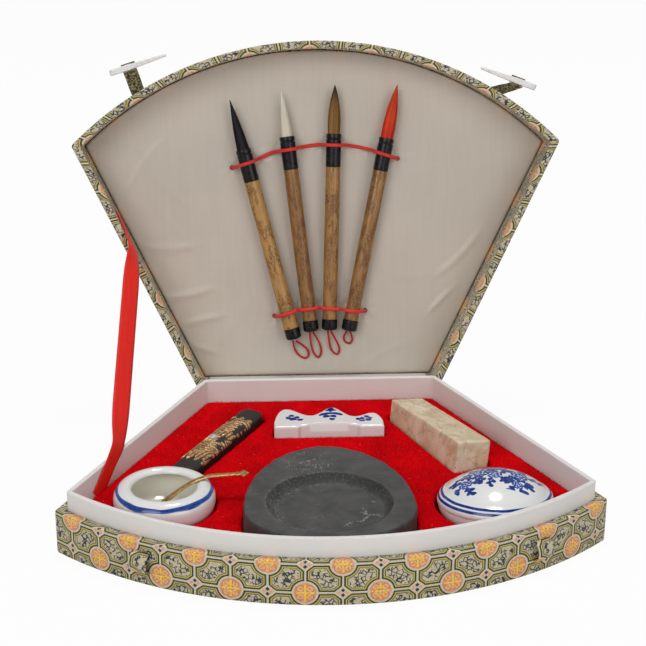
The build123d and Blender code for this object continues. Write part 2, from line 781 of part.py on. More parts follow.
def peg_loop(side):
    """The strap's end, held in the peg's slot."""
    depth = peg_thickness + stub_proud
    stub = Pos(0, depth / 2, 0) * Box(strap_width, depth, strap_thickness)
    return opened(strap_plane(side).location * peg_frame(side).location * stub)


def base_loop(side):
    """An upright cloth band, glued to the base's front at both ends and bulging between."""
    angle = loop_angles[side]
    middle = (band_low + band_high) / 2
    low = band_low + band_seam_share * band_thickness
    high = band_high - band_seam_share * band_thickness
    outer = ThreePointArc((glue_gap, band_low), (band_bulge, middle), (glue_gap, band_high))
    inner = ThreePointArc((glue_gap, high), (band_bulge - band_thickness, middle), (glue_gap, low))
    ends = Line((glue_gap, band_high), (glue_gap, high)) + Line((glue_gap, low), (glue_gap, band_low))
    band = extrude(Plane.XZ * make_face(outer + inner + ends), band_width / 2, both=True)
    return Pos(*on_arc(angle)) * Rotation(0, 0, angle - 90) * band


def stay_ribbon():
    """A flat ribbon from the tray, over the neck's rim, to the inside of the lid's side wall."""
    across, along = side_normal
    swing = math.radians(lid_open_angle)
    base_normal = Vector(across, -along, 0)
    lid_normal = Vector(across, -along * math.cos(swing), along * math.sin(swing))
    fold = lid_normal.cross(base_normal).normalized()
    edge = ribbon_gap / across
    foot = Vector(edge - wall_x(neck_inner, ribbon_foot_y), ribbon_foot_y, tray_top)
    up = fold.cross(base_normal).normalized()
    over_rim = neck_rise + base_height - tray_top + ribbon_gap + abs(fold.Z) * ribbon_width / 2
    rim = foot + up * (over_rim / up.Z)
    mouth_y = hinge_y - ribbon_lid_reach
    mouth_axis = opened(Vertex(0, 0, 1)).center() - opened(Vertex(0, 0, 0)).center()
    out_of_mouth = ribbon_gap + abs(fold.dot(mouth_axis)) * ribbon_width / 2
    mouth = opened(Vertex(edge - wall_x(lid_wall, mouth_y), mouth_y, base_height - out_of_mouth)).center()
    tuck = mouth + lid_normal.cross(fold).normalized() * ribbon_tuck
    frame = Plane(origin=rim, z_dir=fold, x_dir=(mouth - rim))
    corners = [frame.to_local_coords(spot) for spot in (foot, rim, mouth, tuck)]
    path = Polyline(*[(spot.X, spot.Y) for spot in corners])
    band = extrude(frame * trace(path, ribbon_thickness), ribbon_width / 2, both=True)
    floor = Box(cut_reach, cut_reach, cut_reach, align=(Align.CENTER, Align.CENTER, Align.MAX))
    return band - Pos(0, 0, tray_top + ribbon_foot_gap) * floor


def all_pieces():
    """Every piece by its name."""
    pieces = {
        "base_board": base_board(),
        "base_outer_wall": base_outer_wall(),
        "neck_liner": neck_liner(),
        "hinge_cloth_base": hinge_cloth_base(),
        "stay_ribbon": stay_ribbon(),
        "lid_board": lid_board(),
        "lid_side_wall": lid_side_wall(),
        "lid_lining": lid_lining(),
        "hinge_cloth_lid": hinge_cloth_lid(),
        "hinge_liner": hinge_liner(),
        "cord_upper": cord_upper(),
        "cord_lower": cord_lower(),
        "ink_stone": ink_stone(),
        "ink_stick": ink_stick(),
        "seal_stone": seal_stone(),
        "brush_rest": brush_rest(),
        "water_dish": water_dish(),
        "water_spoon": water_spoon(),
        "paste_bowl": paste_bowl(),
        "seal_paste": seal_paste(),
        "paste_cover": paste_cover(),
    }
    pieces.update(tray_blocks())
    for side in strap_set:
        pieces["strap_" + side] = strap(side)
        pieces["peg_" + side] = peg(side)
        pieces["peg_loop_" + side] = peg_loop(side)
        pieces["base_loop_" + side] = base_loop(side)
    for name in brush_set:
        pieces["brush_" + name + "_cap"] = brush_cap(name)
        pieces["brush_" + name + "_handle"] = brush_handle(name)
        pieces["brush_" + name + "_ferrule"] = brush_ferrule(name)
        pieces["brush_" + name + "_hair"] = brush_hair(name)
        pieces["brush_" + name + "_loop"] = hanging_loop(name)
    return pieces


os.makedirs("parts", exist_ok=True)
for node, shape in all_pieces().items():
    export_step(shape, "parts/" + node + ".step")
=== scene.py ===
import math

import bmesh
import bpy
import numpy as np
from mathutils import Matrix, Vector, noise


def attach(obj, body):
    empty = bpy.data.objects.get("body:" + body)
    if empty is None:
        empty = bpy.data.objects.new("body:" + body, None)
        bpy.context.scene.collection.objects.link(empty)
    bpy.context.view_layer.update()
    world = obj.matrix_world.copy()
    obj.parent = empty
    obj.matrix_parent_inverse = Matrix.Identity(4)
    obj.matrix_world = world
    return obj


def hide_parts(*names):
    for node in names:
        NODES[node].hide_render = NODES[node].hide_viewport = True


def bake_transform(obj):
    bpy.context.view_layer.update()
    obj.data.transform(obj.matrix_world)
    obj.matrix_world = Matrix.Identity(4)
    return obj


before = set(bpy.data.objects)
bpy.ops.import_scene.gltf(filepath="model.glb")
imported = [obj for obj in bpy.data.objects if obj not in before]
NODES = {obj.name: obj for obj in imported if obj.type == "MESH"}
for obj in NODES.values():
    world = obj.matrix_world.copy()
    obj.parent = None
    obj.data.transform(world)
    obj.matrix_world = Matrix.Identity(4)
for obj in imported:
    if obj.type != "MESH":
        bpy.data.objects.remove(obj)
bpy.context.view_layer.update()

# Fan-shaped calligraphy box, open, with its tray of writing things.
# Sizes are millimetres in the part's own frame and become metres when a mesh is made.

MM = 0.001

# ---- Sizes shared with the solids ----

HINGE_WIDTH, FRONT_CHORD, SIDE_DEPTH, ARC_RISE = 140.0, 280.0, 143.0, 58.0
BASE_HEIGHT, BASE_WALL, LID_HEIGHT, LID_WALL, LID_SEAM, BOARD = 23.5, 5.0, 27.8, 4.4, 0.2, 2.5
LINING_DEPTH, LINING_INSET = 23.2, 4.9
OPEN_ANGLE = 103.5
CORNER, RIM_ROUND = 2.0, 0.8
STONE_CENTRE, STONE_TOP = (-2.2, -57.0), 30.5
WELL_CENTRE, WELL_RADIUS, WELL_FLOOR, WELL_DEPTH = (-2.3, -51.5), 32.0, 27.5, 5.0
STICK_CENTRE, STICK_ANGLE, STICK_TOP = (-58.5, 36.0), 61.6, 24.5
SEAL_CENTRE = (63.2, 38.5)
REST_BASE, REST_TOP = 46.0, 26.5
DISH_CENTRE, DISH_RADIUS, DISH_TOP, DISH_MOUTH = (-85.3, -31.5), 26.0, 31.2, 16.5
SPOON_BEND, SPOON_IN, SPOON_OUT, SPOON_LIFT = (-64.0, -25.9), 205.6, 3.0, 0.7
PASTE_CENTRE, PASTE_TILT = (83.4, -37.5, 21.0), -7.0
CAP_LENGTH, HANDLE, FERRULE, BRUSH_DEPTH = 6.4, 90.0, 19.0, 18.3
# Each brush: place of its cap as (x, distance from the hinge), lean in degrees, hair length, handle radius.
BRUSHES = {
    "black": ((-13.8, 27.4), -14.3, 29.7, 4.4),
    "white": ((-3.7, 31.8), -6.5, 26.6, 4.3),
    "brown": ((7.0, 32.4), 1.8, 28.4, 4.3),
    "red": ((18.5, 31.8), 11.5, 31.7, 4.3),
}
UPPER_PINS = [(-49.0, 128.5), (-33.0, 133.7), (-24.0, 137.8), (-8.2, 140.2),
              (2.6, 141.6), (19.0, 141.1), (31.9, 138.3), (48.2, 132.8)]
LOWER_PINS = [(-25.2, 40.5), (-11.3, 45.1), (1.1, 46.2), (13.8, 45.0), (28.6, 43.0)]
# Points of each hanging loop: x, distance from the hinge, depth below the mouth of the lid.
LOOP_ROUTES = {
    "black": [(-14.6, 26.0, 19.0), (-14.2, 22.0, 21.0), (-11.7, 17.0, 22.2), (-6.6, 14.2, 22.2),
              (-4.6, 18.0, 22.2), (-7.6, 22.6, 21.0), (-12.6, 25.8, 19.4)],
    "white": [(-4.6, 31.0, 19.0), (-4.2, 25.6, 20.6), (-2.9, 18.8, 22.1), (0.4, 14.4, 22.2),
              (2.7, 18.4, 22.2), (1.0, 25.4, 20.6), (-2.6, 30.9, 19.0)],
    "brown": [(6.2, 31.6, 19.0), (6.6, 26.0, 20.6), (8.0, 19.6, 22.1), (11.9, 16.2, 22.2),
              (13.6, 20.0, 22.2), (11.0, 26.0, 20.6), (8.0, 31.3, 19.0)],
    "red": [(17.2, 31.0, 18.8), (15.3, 28.2, 21.2), (16.2, 24.4, 22.2), (19.4, 23.0, 22.2),
            (21.4, 26.4, 22.0), (19.4, 30.8, 19.2)],
}
# Each strap: its angle round the front, the peg's place along and out from the root, the peg's lean.
STRAPS = {"left": (-30.8, 2.9, 14.4, 13.2), "right": (31.6, -7.0, 10.8, 11.3)}
STRAP_WIDTH, STRAP_HEIGHT, PEG_THICK = 8.0, 3.0, 3.3
LOOP_ANGLES = {"left": -28.7, "right": 30.7}
BAND_WIDTH, BAND_THICK, BAND_LOW, BAND_HIGH, BAND_BULGE = 9.5, 0.9, 5.0, 20.0, 4.8
RIBBON_WIDTH, RIBBON_THICK = 11.0, 0.4
RIBBON_STOPS = [(-120.3, -20.8, 19.4), (-110.2, -0.9, 38.2), (-105.7, 115.6, 106.3), (-114.8, 137.6, 120.1)]

# ---- Values that only the dressed pieces have ----

BASE_PATTERN, LID_PATTERN = (-1.4, 8.3), (4.0, 7.3)
PANEL_LIP = 0.4
HINGE_STRIP_FOOT, HINGE_STRIP_REACH, HINGE_STRIP_INSET, HINGE_STRIP_THICK = 3.0, 24.2, 3.0, 0.45
SILK_THICK, SILK_ROWS, SILK_COLUMNS = 1.2, 130, 190
EDGE_DROP, EDGE_REACH = 0.7, 0.6
PUCKERS, PUCKER_HEIGHT, PUCKER_REACH, PUCKER_WIDTH = 5, 0.42, 3.4, 3.6
DIMPLE_DEPTH, DIMPLE_WIDTH = 0.5, 1.3
# Each crease: its two ends as (x, distance from the hinge), height and width.
SILK_CREASES = [
    ((-118, 150), (-70, 100), 0.5, 2.2), ((-112, 138), (-60, 60), 0.35, 2.5), ((60, 25), (20, 8), 0.4, 2.2),
    ((-66, 20), (-30, 60), 0.3, 3.0), ((112, 140), (60, 95), 0.4, 2.4), ((40, 60), (78, 70), 0.4, 2.5),
    ((-92, 50), (-58, 60), 1.3, 1.8), ((-80, 34), (-52, 44), 1.2, 1.6), ((-104, 82), (-64, 84), 1.0, 2.2),
    ((-78, 26), (-56, 20), 1.1, 1.6), ((100, 92), (66, 58), 1.0, 2.0), ((86, 58), (62, 38), 1.0, 1.6),
    ((-114, 112), (-86, 148), 0.5, 1.3),
]
PILE_DENSITY, PILE_LENGTH, PILE_WIDTH = 1.1e6, 0.9, 0.13
STONE_CRACKS = [
    [(4.0, -68.5), (9.0, -64.0), (12.5, -64.6), (17.0, -58.0), (22.5, -57.0)],
    [(13.5, -55.0), (17.0, -58.0), (14.5, -50.5)],
    [(17.5, -43.5), (22.0, -44.6)],
    [(23.5, -61.0), (21.0, -57.4)],
]
GOLD_REACH = 28.0
# Each gap in the gold: place along and across the ink stick, half length, half width.
GOLD_GAPS = [(-1.0, -3.4, 4.5, 2.8), (14.5, -6.0, 7.5, 2.6), (-9.0, -6.6, 3.0, 1.8), (24.0, 6.0, 3.0, 2.4)]
PEARL_PLACE = (-1.2, 2.4)
# Each scene: its middle, then strokes as (x, y) to (x, y), bend and width.
REST_SCENES = [
    ((-16.3, 9.5), [
        (-4.4, 1.2, -1.2, -1, 0.5, 1.28), (-3.2, 2.6, 0, 2, -0.6, 1.08), (-1.4, 0.2, 1, -2.6, 0.5, 1.22),
        (0.2, 1.4, 2.4, -0.6, -0.4, 1.08), (1.4, -2.4, 4.8, -1.8, 0.5, 1.08),
        (-2.6, -2.6, -0.6, -1.6, 0.3, 0.81)]),
    ((4.5, 12.5), [
        (-2.8, 5.8, 3, 6.2, -0.8, 1.08), (-1.6, 8.2, 1.8, 8.6, -0.7, 0.94), (-0.4, 4.2, 0.6, 9.6, 0.3, 0.81),
        (-6.8, -0.6, -1, 1.8, -0.8, 1.08), (0.6, 2, 6.4, -0.4, -0.8, 1.08), (-3.4, 2.8, 3.6, 3, 0.6, 0.94),
        (-4.6, -2.8, -0.6, -1.4, -0.7, 1.35), (-0.8, -1.2, 2.6, -2.6, -0.6, 1.22),
        (-1.2, -4.4, 1.8, -5.6, 0.4, 1.22)]),
    ((23.2, 7.5), [
        (-4.8, 0.4, -2.6, -1.4, 0.5, 1.08), (-2.4, 1.2, -0.4, -0.8, 0.4, 1.08),
        (-0.2, 3.4, 1.4, 0.6, -0.5, 1.08), (0.6, -0.6, 3.2, -2.8, 0.5, 1.22),
        (2.2, 1.4, 3, -1, -0.3, 0.94), (-3.6, -2.8, 0, -2.4, 0.4, 0.81)]),
]
PASTE_RADIUS, COVER_DOME, COVER_INSIDE, DOME_CENTRE = 30.0, 40.0, 37.0, -24.251
# Each flower: x, y, radius, turn in radians.
COVER_FLOWERS = [(-9.5, 3.0, 5.6, 0.3), (2.5, 8.5, 5.4, 1.1), (11.5, -2.0, 5.2, 2.0), (-16.5, -6.5, 4.0, 0.6),
                 (-1.5, -3.0, 4.6, 0.0), (9.0, -12.0, 3.4, 0.9), (-3.0, 18.0, 4.6, 1.5),
                 (15.0, 11.0, 4.2, 0.2)]
BAMBOO_KNOTS = {"black": 61.0, "white": 28.0, "brown": 74.0, "red": 44.0}
# Each tuft: its radius at the ferrule, and how much it swells on the way to the tip.
TUFTS = {"black": (3.6, 1.9), "white": (3.5, 2.2), "brown": (3.4, 6.0), "red": (3.6, 5.2)}
HAIR_COUNT, HAIR_CORE, HAIR_END = 1100, 0.9, 0.985
ARCH_HALF = 4.3
CAP_RADIUS, FERRULE_RADIUS, GROOVE_RADIUS, GROOVE_BACK, FERRULE_BORE = 4.6, 4.5, 4.15, 2.6, 3.6
ELASTIC_RADIUS, LOOP_RADIUS = 1.05, 0.6
KNOT = [(0, -0.5), (1.25, -0.5), (1.35, 0.0), (1.05, 0.7), (0.5, 1.1), (0, 1.2)]
ON_LINING, OVER_BRUSHES = 22.2, 12.4
STRAP_CLOTH = 1.2
# Way along the ribbon, and its turn in degrees there.
RIBBON_TURNS = [0, 26, 46, 148, 166, 190], [0, 0, 33, 33, 0, 0]
AMBIENT, FLOOR_WHITE, FLOOR_REACH = 0.28, 0.95, 6.0
CAMERA_SPOT, CAMERA_TURN, CAMERA_LENS = (-0.0441, -0.7943, 0.4224), (-2.944, 90 - 21.733, 0.174), 93.53
# Each lamp: where it hangs, what it points at, size in metres, power in watts.
LAMPS = {
    "key": ((-0.8, -1.25, 1.0), (0, 0, 0.1), 1.2, 11),
    "fill": ((1.0, -1.3, 0.75), (0, 0, 0.1), 1.2, 7),
    "top": ((0.1, 0.35, 1.6), (0, 0, 0.03), 0.35, 10),
}

HALF_FLARE = (FRONT_CHORD - HINGE_WIDTH) / 2
SIDE_LENGTH = math.hypot(SIDE_DEPTH, HALF_FLARE)
ACROSS, ALONG = SIDE_DEPTH / SIDE_LENGTH, HALF_FLARE / SIDE_LENGTH
HINGE_Y = (SIDE_DEPTH + ARC_RISE) / 2
ARC_RADIUS = FRONT_CHORD ** 2 / 8 / ARC_RISE + ARC_RISE / 2
ARC_Y = ARC_RADIUS - HINGE_Y


# ---- Patterns and finishes ----

class Wire:
    """A value in a node tree, so that a pattern reads as sums."""

    def __init__(self, tree, socket):
        self.tree, self.socket = tree, socket

    def step(self, operation, *others):
        return node(self.tree, "Math", (self, *others), operation=operation)

    def __add__(self, other):
        return self.step("ADD", other)

    def __sub__(self, other):
        return self.step("SUBTRACT", other)

    def __mul__(self, other):
        return self.step("MULTIPLY", other)

    def __truediv__(self, other):
        return self.step("DIVIDE", other)

    def size(self):
        return self.step("ABSOLUTE")

    def least(self, other):
        return self.step("MINIMUM", other)

    def most(self, other):
        return self.step("MAXIMUM", other)

    def off_whole(self):
        """How far the value is from the nearest whole number, with its sign."""
        return self - self.step("ROUND")

    def sine(self):
        return self.step("SINE")

    def rise(self, start, end, low=0.0, high=1.0):
        """Smoothly from low at start to high at end."""
        return node(self.tree, "MapRange", (self, start, end, low, high), interpolation_type="SMOOTHSTEP")

    def spread(self, low, high):
        """Low to high over the middle range of soft noise."""
        return self.rise(0.2, 0.8, low, high)

    def parts(self):
        split = self.tree.nodes.new("ShaderNodeSeparateXYZ")
        put(self, split.inputs[0])
        return [Wire(self.tree, out) for out in split.outputs]

    def stretch(self, factors, shift=(0, 0, 0)):
        return node(self.tree, "VectorMath", (self, factors, shift), operation="MULTIPLY_ADD")

    def tint(self, below, above):
        """The colour below where the value is 0 and above where it is 1."""
        return node(self.tree, "Mix", {0: self, 6: below, 7: above}, output=2, data_type="RGBA")


def put(value, socket):
    if isinstance(value, Wire):
        value.tree.links.new(value.socket, socket)
    else:
        if socket.type == "RGBA":
            value = (*value[:3], 1.0)
        socket.default_value = value


def named(sockets, key):
    """A socket by its number, or the one in use by its name."""
    if isinstance(key, int):
        return sockets[key]
    return next(socket for socket in sockets if socket.name == key and socket.enabled)


def node(tree, kind, inputs=(), output=0, **settings):
    made = tree.nodes.new(kind if "Node" in kind else "ShaderNode" + kind)
    for key, value in settings.items():
        setattr(made, key, value)
    for key, value in (inputs.items() if isinstance(inputs, dict) else enumerate(inputs)):
        put(value, named(made.inputs, key))
    return Wire(tree, named(made.outputs, output))


def join(tree, *values):
    return node(tree, "CombineXYZ", values)


def grain(place, scale, detail=2.0, roughness=0.5, warp=0.0, output="Fac"):
    """Soft cloudy noise; scale is cycles per millimetre."""
    values = {"Vector": place, "Scale": scale, "Detail": detail, "Roughness": roughness, "Distortion": warp}
    return node(place.tree, "TexNoise", values, output=output)


def cells(place, scale, feature="F1"):
    """Distance to the scattered points of a cell pattern."""
    values = {"Vector": place, "Scale": scale}
    return node(place.tree, "TexVoronoi", values, output="Distance", feature=feature)


def seams(place, scale):
    """Distance to the edges of a cell pattern."""
    return cells(place, scale, "DISTANCE_TO_EDGE")


def shifted_by(place, move):
    return node(place.tree, "VectorMath", (place, move), operation="ADD")


def from_spot(place, spot):
    """The place as seen from a spot in plan."""
    return place.stretch((1, 1, 1), (-spot[0], -spot[1], 0))


def point_value(place, key):
    """A value painted on the points of a piece."""
    return node(place.tree, "Attribute", output="Fac", attribute_name=key)


def new_tree(name, kind, inputs, outputs):
    """An empty node group, with its inputs as wires by name and its output node."""
    tree = bpy.data.node_groups.new(name, kind + "NodeTree")
    for way, sockets in (("INPUT", inputs), ("OUTPUT", outputs)):
        for key, socket in sockets.items():
            tree.interface.new_socket(key, in_out=way, socket_type="NodeSocket" + socket)
    start, end = tree.nodes.new("NodeGroupInput"), tree.nodes.new("NodeGroupOutput")
    return tree, {key: Wire(tree, start.outputs[key]) for key in inputs}, end


def group(name, inputs, outputs, recipe):
    """A shader node group: recipe gets the inputs as wires and gives the outputs back in order."""
    tree, given, end = new_tree(name, "Shader", inputs, outputs)
    for value, key in zip(recipe(*given.values()), outputs):
        put(value, end.inputs[key])
    return tree


def use(tree, kept, *values):
    """A node group placed in a material, with its outputs as wires."""
    made = tree.nodes.new("ShaderNodeGroup")
    made.node_tree = kept
    for value, socket in zip(values, made.inputs):
        put(value, socket)
    return [Wire(tree, out) for out in made.outputs]


def finish(name, fixed, recipe, cloth=False):
    """A material: fixed sockets by name, and a recipe that gives the changing ones from the place in mm."""
    made = bpy.data.materials.new(name)
    made.use_nodes = True
    tree = made.node_tree
    shader = tree.nodes["Principled BSDF"]
    for key, value in fixed.items():
        put(value, shader.inputs[key])
    place = node(tree, "TexCoord", output="UV" if cloth else "Object")
    if not cloth:
        place = place.stretch((1 / MM,) * 3)
    changing = recipe(place)
    if "Height" in changing:
        height, depth = changing.pop("Height")
        changing["Normal"] = node(tree, "Bump", {"Height": height, "Strength": 1.0, "Distance": depth * MM},
                                  output="Normal")
    for key, value in changing.items():
        put(value, shader.inputs[key])
    return made


THREAD = 0.3
LATTICE = (18.05, 15.5)
CREAM, KHAKI, TEAL, STRAW = (0.66, 0.58, 0.42), (0.56, 0.49, 0.33), (0.012, 0.036, 0.032), (0.60, 0.47, 0.06)
CORAL, GOLD_THREAD = (0.72, 0.26, 0.12), (0.90, 0.62, 0.06)
SALMON, NAVY = (0.76, 0.36, 0.25), (0.015, 0.024, 0.04)
MAUVE = (0.50, 0.16, 0.13)
CELL_BANDS = ((0.5, TEAL), (1.4, STRAW), (2.0, NAVY), (2.4, KHAKI))
BAND_EDGE, MEDALLION_GAP, MEDALLION_RADIUS = 0.1, 5.9, 5.5
DIAMOND_REACH, DIAMOND_SQUASH, DIAMOND_SLOPE = 3.9, 1.15, 0.72


def weave_brocade(place):
    """Octagon cells between round flower medallions and small diamond clusters."""
    tree = place.tree
    across, up, _ = place.parts()
    x = (across / THREAD).step("FLOOR") * THREAD
    y = (up / THREAD).step("FLOOR") * THREAD
    stepped = join(tree, x, y, 0.0)
    a, b = x / LATTICE[0], y / LATTICE[1]
    s, t = (a + b) * 0.5, (a - b) * 0.5
    fs, ft = s.off_whole(), t.off_whole()
    mx, my = ((fs + ft) * LATTICE[0]).size(), ((fs - ft) * LATTICE[1]).size()
    gs, gt = (s + 0.5).off_whole(), (t + 0.5).off_whole()
    cx, cy = ((gs + gt) * LATTICE[0]).size(), ((gs - gt) * LATTICE[1]).size()
    medallion = (mx * mx + my * my).step("SQRT")
    lines = (a.off_whole().size() * LATTICE[0]).least(b.off_whole().size() * LATTICE[1])
    cell = lines.least(medallion - MEDALLION_GAP)
    cell = cell.least((cx + cy * DIAMOND_SQUASH - DIAMOND_REACH) * DIAMOND_SLOPE)
    colour = CREAM
    for start, thread in CELL_BANDS:
        colour = cell.rise(start - BAND_EDGE, start + BAND_EDGE).tint(colour, thread)
    twig = seams(stepped, 0.46).rise(0.14, 0.08)
    broken = grain(stepped, 0.35, 1.0).rise(0.40, 0.46)
    thread = grain(stepped, 0.2).rise(0.4, 0.6).tint(NAVY, TEAL)
    colour = (twig * broken * cell.rise(2.7, 2.9)).tint(colour, thread)
    beside = (cx - 1.75).size() + cy
    above = cx + (cy - 1.35).size()
    colour = above.rise(1.25, 1.05).tint(colour, TEAL)
    colour = beside.rise(1.35, 1.15).tint(colour, SALMON)
    inside = medallion.rise(MEDALLION_RADIUS, MEDALLION_RADIUS - 0.2)
    colour = inside.tint(colour, grain(stepped, 0.45, 1.0).rise(0.4, 0.62).tint(CORAL, SALMON))
    curl = ((mx - 2.3) * (mx - 2.3) + (my - 2.2) * (my - 2.2)).step("SQRT")
    colour = ((curl - 1.9).size().rise(0.35, 0.1) * inside * 0.7).tint(colour, MAUVE)
    gold = mx.least(my).rise(0.75, 0.4) * medallion.rise(4.6, 4.2)
    gold = gold.most((curl - 1.1).size().rise(0.4, 0.2) * 0.8)
    gold = gold * grain(stepped, 0.9, 1.0).rise(0.36, 0.48) * inside
    colour = gold.tint(colour, GOLD_THREAD)
    fleck = node(tree, "TexWhiteNoise", {"Vector": stepped})
    colour = node(tree, "HueSaturation", {"Value": fleck.rise(0.0, 1.0, 0.82, 1.14), "Color": colour})
    rib = (across * (math.tau / THREAD)).sine() * 0.5 + (up * (math.tau / THREAD)).sine() * 0.5
    height = rib * 0.3 + inside * 0.6 + cell.rise(0.6, 0.4) * 0.5
    rough = fleck.rise(0.0, 1.0, 0.5, 0.72) - gold * 0.15
    return colour, rough, height


BROCADE = group("woven_brocade", {"Place": "Vector"},
                {"Colour": "Color", "Rough": "Float", "Height": "Float"}, weave_brocade)


MOTTLE = group("uneven_tone", {"Place": "Vector", "Scale": "Float", "Amount": "Float"}, {"Tone": "Float"},
               lambda place, scale, amount: ((grain(place, scale, 4.0) - 0.5) * amount + 1.0,))


def shade(colour, tone):
    """A colour made lighter or darker by a tone round one."""
    return node(tone.tree, "HueSaturation", {"Value": tone, "Color": colour})


def toned(place, colour, scale, amount):
    return shade(colour, use(place.tree, MOTTLE, place, scale, amount)[0])


def brocade_look(place):
    colour, rough, height = use(place.tree, BROCADE, place)
    return {"Base Color": colour, "Roughness": rough, "Height": (height, 0.08)}


def strap_look(place):
    """Dark cloth with crowded golden scrolls."""
    curled = place.stretch((1, 1, 1), (3.0, 0.0, 0.0))
    scroll = seams(curled, 0.62).rise(0.16, 0.08)
    scroll = scroll.most(seams(curled, 1.3).rise(0.10, 0.05) * 0.5)
    worn = scroll * grain(place, 0.7, 3.0).rise(0.38, 0.55)
    rib = (place.parts()[0] * (math.tau / THREAD)).sine()
    return {"Base Color": worn.tint((0.024, 0.020, 0.014), (0.34, 0.27, 0.10)),
            "Roughness": worn.rise(0, 1, 0.8, 0.55), "Height": (rib * 0.4 + worn, 0.12)}


def paper_look(colour, depth=0.03):
    def recipe(place):
        fibre = grain(place, 2.2, 5.0, 0.7)
        return {"Base Color": toned(place, colour, 0.06, 0.10), "Roughness": fibre.spread(0.65, 0.85),
                "Height": (fibre, depth)}
    return recipe


def flock_look(place):
    nap = grain(place, 0.05, 3.0)
    fuzz = grain(place, 2.6, 2.0, 0.7)
    speck = cells(place, 0.30).rise(0.09, 0.06) * grain(place, 0.9).rise(0.5, 0.55)
    colour = fuzz.rise(0.3, 0.7).tint((0.46, 0.0, 0.001), (1.0, 0.0, 0.006))
    colour = shade(colour, nap.rise(0.3, 0.7, 0.85, 1.15))
    return {"Base Color": (speck * 0.8).tint(colour, (0.90, 0.36, 0.32)), "Height": (fuzz, 0.6)}


def silk_look(place):
    swayed = shifted_by(place, grain(place, 0.03, 2.0, output="Color").stretch((9, 9, 0)))
    slub = grain(swayed.stretch((0.37, 0.02, 1.0)), 1.0, 4.0, 0.7)
    weft = grain(swayed.stretch((0.03, 0.53, 1.0)), 1.0, 4.0, 0.7)
    tone = slub.spread(0.975, 1.03) * weft.spread(0.985, 1.015)
    tone = tone * grain(place, 0.012, 2.0).rise(0.3, 0.7, 0.96, 1.04)
    return {"Base Color": shade((0.60, 0.54, 0.46), tone), "Roughness": slub.spread(0.28, 0.42),
            "Height": (slub + weft, 0.03)}


def braid_look(colour):
    def recipe(place):
        along, around, _ = place.parts()
        twist = ((along + around) * math.tau).sine().size() * ((along - around) * math.tau).sine().size()
        # The braid's grooves are darker: painted shade between the strands.
        return {"Base Color": shade(colour, twist.rise(0.0, 0.7, 0.6, 1.1)), "Height": (twist, 0.12)}
    return recipe


def ribbon_look(place):
    across, up, _ = place.parts()
    rib = (up * (math.tau / 0.5)).sine()
    edge = (across - 5.5).size().rise(4.6, 4.9)
    tone = grain(place.stretch((0.4, 0.03, 1.0)), 1.0, 2.0).rise(0.3, 0.7, 0.94, 1.05)
    return {"Base Color": shade((0.80, 0.020, 0.012), tone - edge * 0.15),
            "Roughness": rib.rise(-1, 1, 0.35, 0.5), "Height": (rib * 0.5 + edge * 0.8, 0.05)}


def peg_look(place):
    vein = grain(place, 0.25, 4.0, 0.6, 0.6)
    return {"Base Color": vein.rise(0.35, 0.7).tint((0.84, 0.83, 0.82), (0.72, 0.70, 0.68)),
            "Roughness": vein.spread(0.22, 0.34), "Height": (grain(place, 1.5, 3.0), 0.02)}


def slate_look(place):
    here = from_spot(place, STONE_CENTRE)
    across, up, _ = here.parts()
    grit = grain(here, 2.4, 5.0, 0.7)
    cloud = grain(here, 0.07, 5.0, 0.65, 0.4)
    long_scratch = seams(here.stretch((0.03, 0.5, 1)), 1.0).rise(0.014, 0.004)
    rubbed = seams(here.stretch((0.9, 0.10, 1)), 1.0).rise(0.07, 0.01)
    nearby = ((across + 9) * (across + 9) + (up - 50) * (up - 50)).rise(330, 40)
    rubbed = rubbed * nearby * grain(here, 0.3).rise(0.4, 0.6)
    scratch = (long_scratch * grain(here, 0.08).rise(0.50, 0.58) * 0.6).most(rubbed)
    wall, dust, crack = (point_value(here, key) for key in ("wall", "dust", "crack"))
    speckle = grain(here, 0.8, 5.0, 0.8).rise(0.50, 0.66)
    tone = cloud.rise(0.3, 0.7).tint((0.046, 0.047, 0.047), (0.080, 0.080, 0.078))
    # The well's wall is darkened, most at its back: painted shade. The same mask adds pale dust specks below.
    tone = shade(tone, grit.rise(0.3, 0.7, 0.8, 1.25) * wall.rise(0, 1, 1.0, 0.42))
    pale = (scratch * 0.6).most((dust * 0.8).most(wall * 0.35) * speckle).most(crack * 0.8)
    return {"Base Color": pale.tint(tone, (0.34, 0.34, 0.32)),
            "Roughness": grit.rise(0.3, 0.7, 0.62, 0.85),
            "Height": (grit + wall * speckle - scratch * 0.6, 0.14)}


def ink_look(place):
    gold = point_value(place, "gold")
    soot = grain(place, 1.4, 4.0)
    worn = gold * soot.rise(0.28, 0.42)
    bronze = grain(place, 0.8, 3.0, 0.6).rise(0.38, 0.62).tint((0.30, 0.13, 0.035), (0.78, 0.50, 0.24))
    return {"Base Color": worn.tint((0.010, 0.009, 0.010), bronze), "Metallic": worn * 0.35,
            "Roughness": soot.spread(0.5, 0.65) - worn * 0.22, "Height": (soot, 0.05)}


def pearl_look(place):
    cloud = grain(place, 1.5, 3.0)
    return {"Base Color": cloud.rise(0.3, 0.7).tint((0.30, 0.30, 0.31), (0.62, 0.62, 0.63)),
            "Roughness": cloud.spread(0.30, 0.5)}


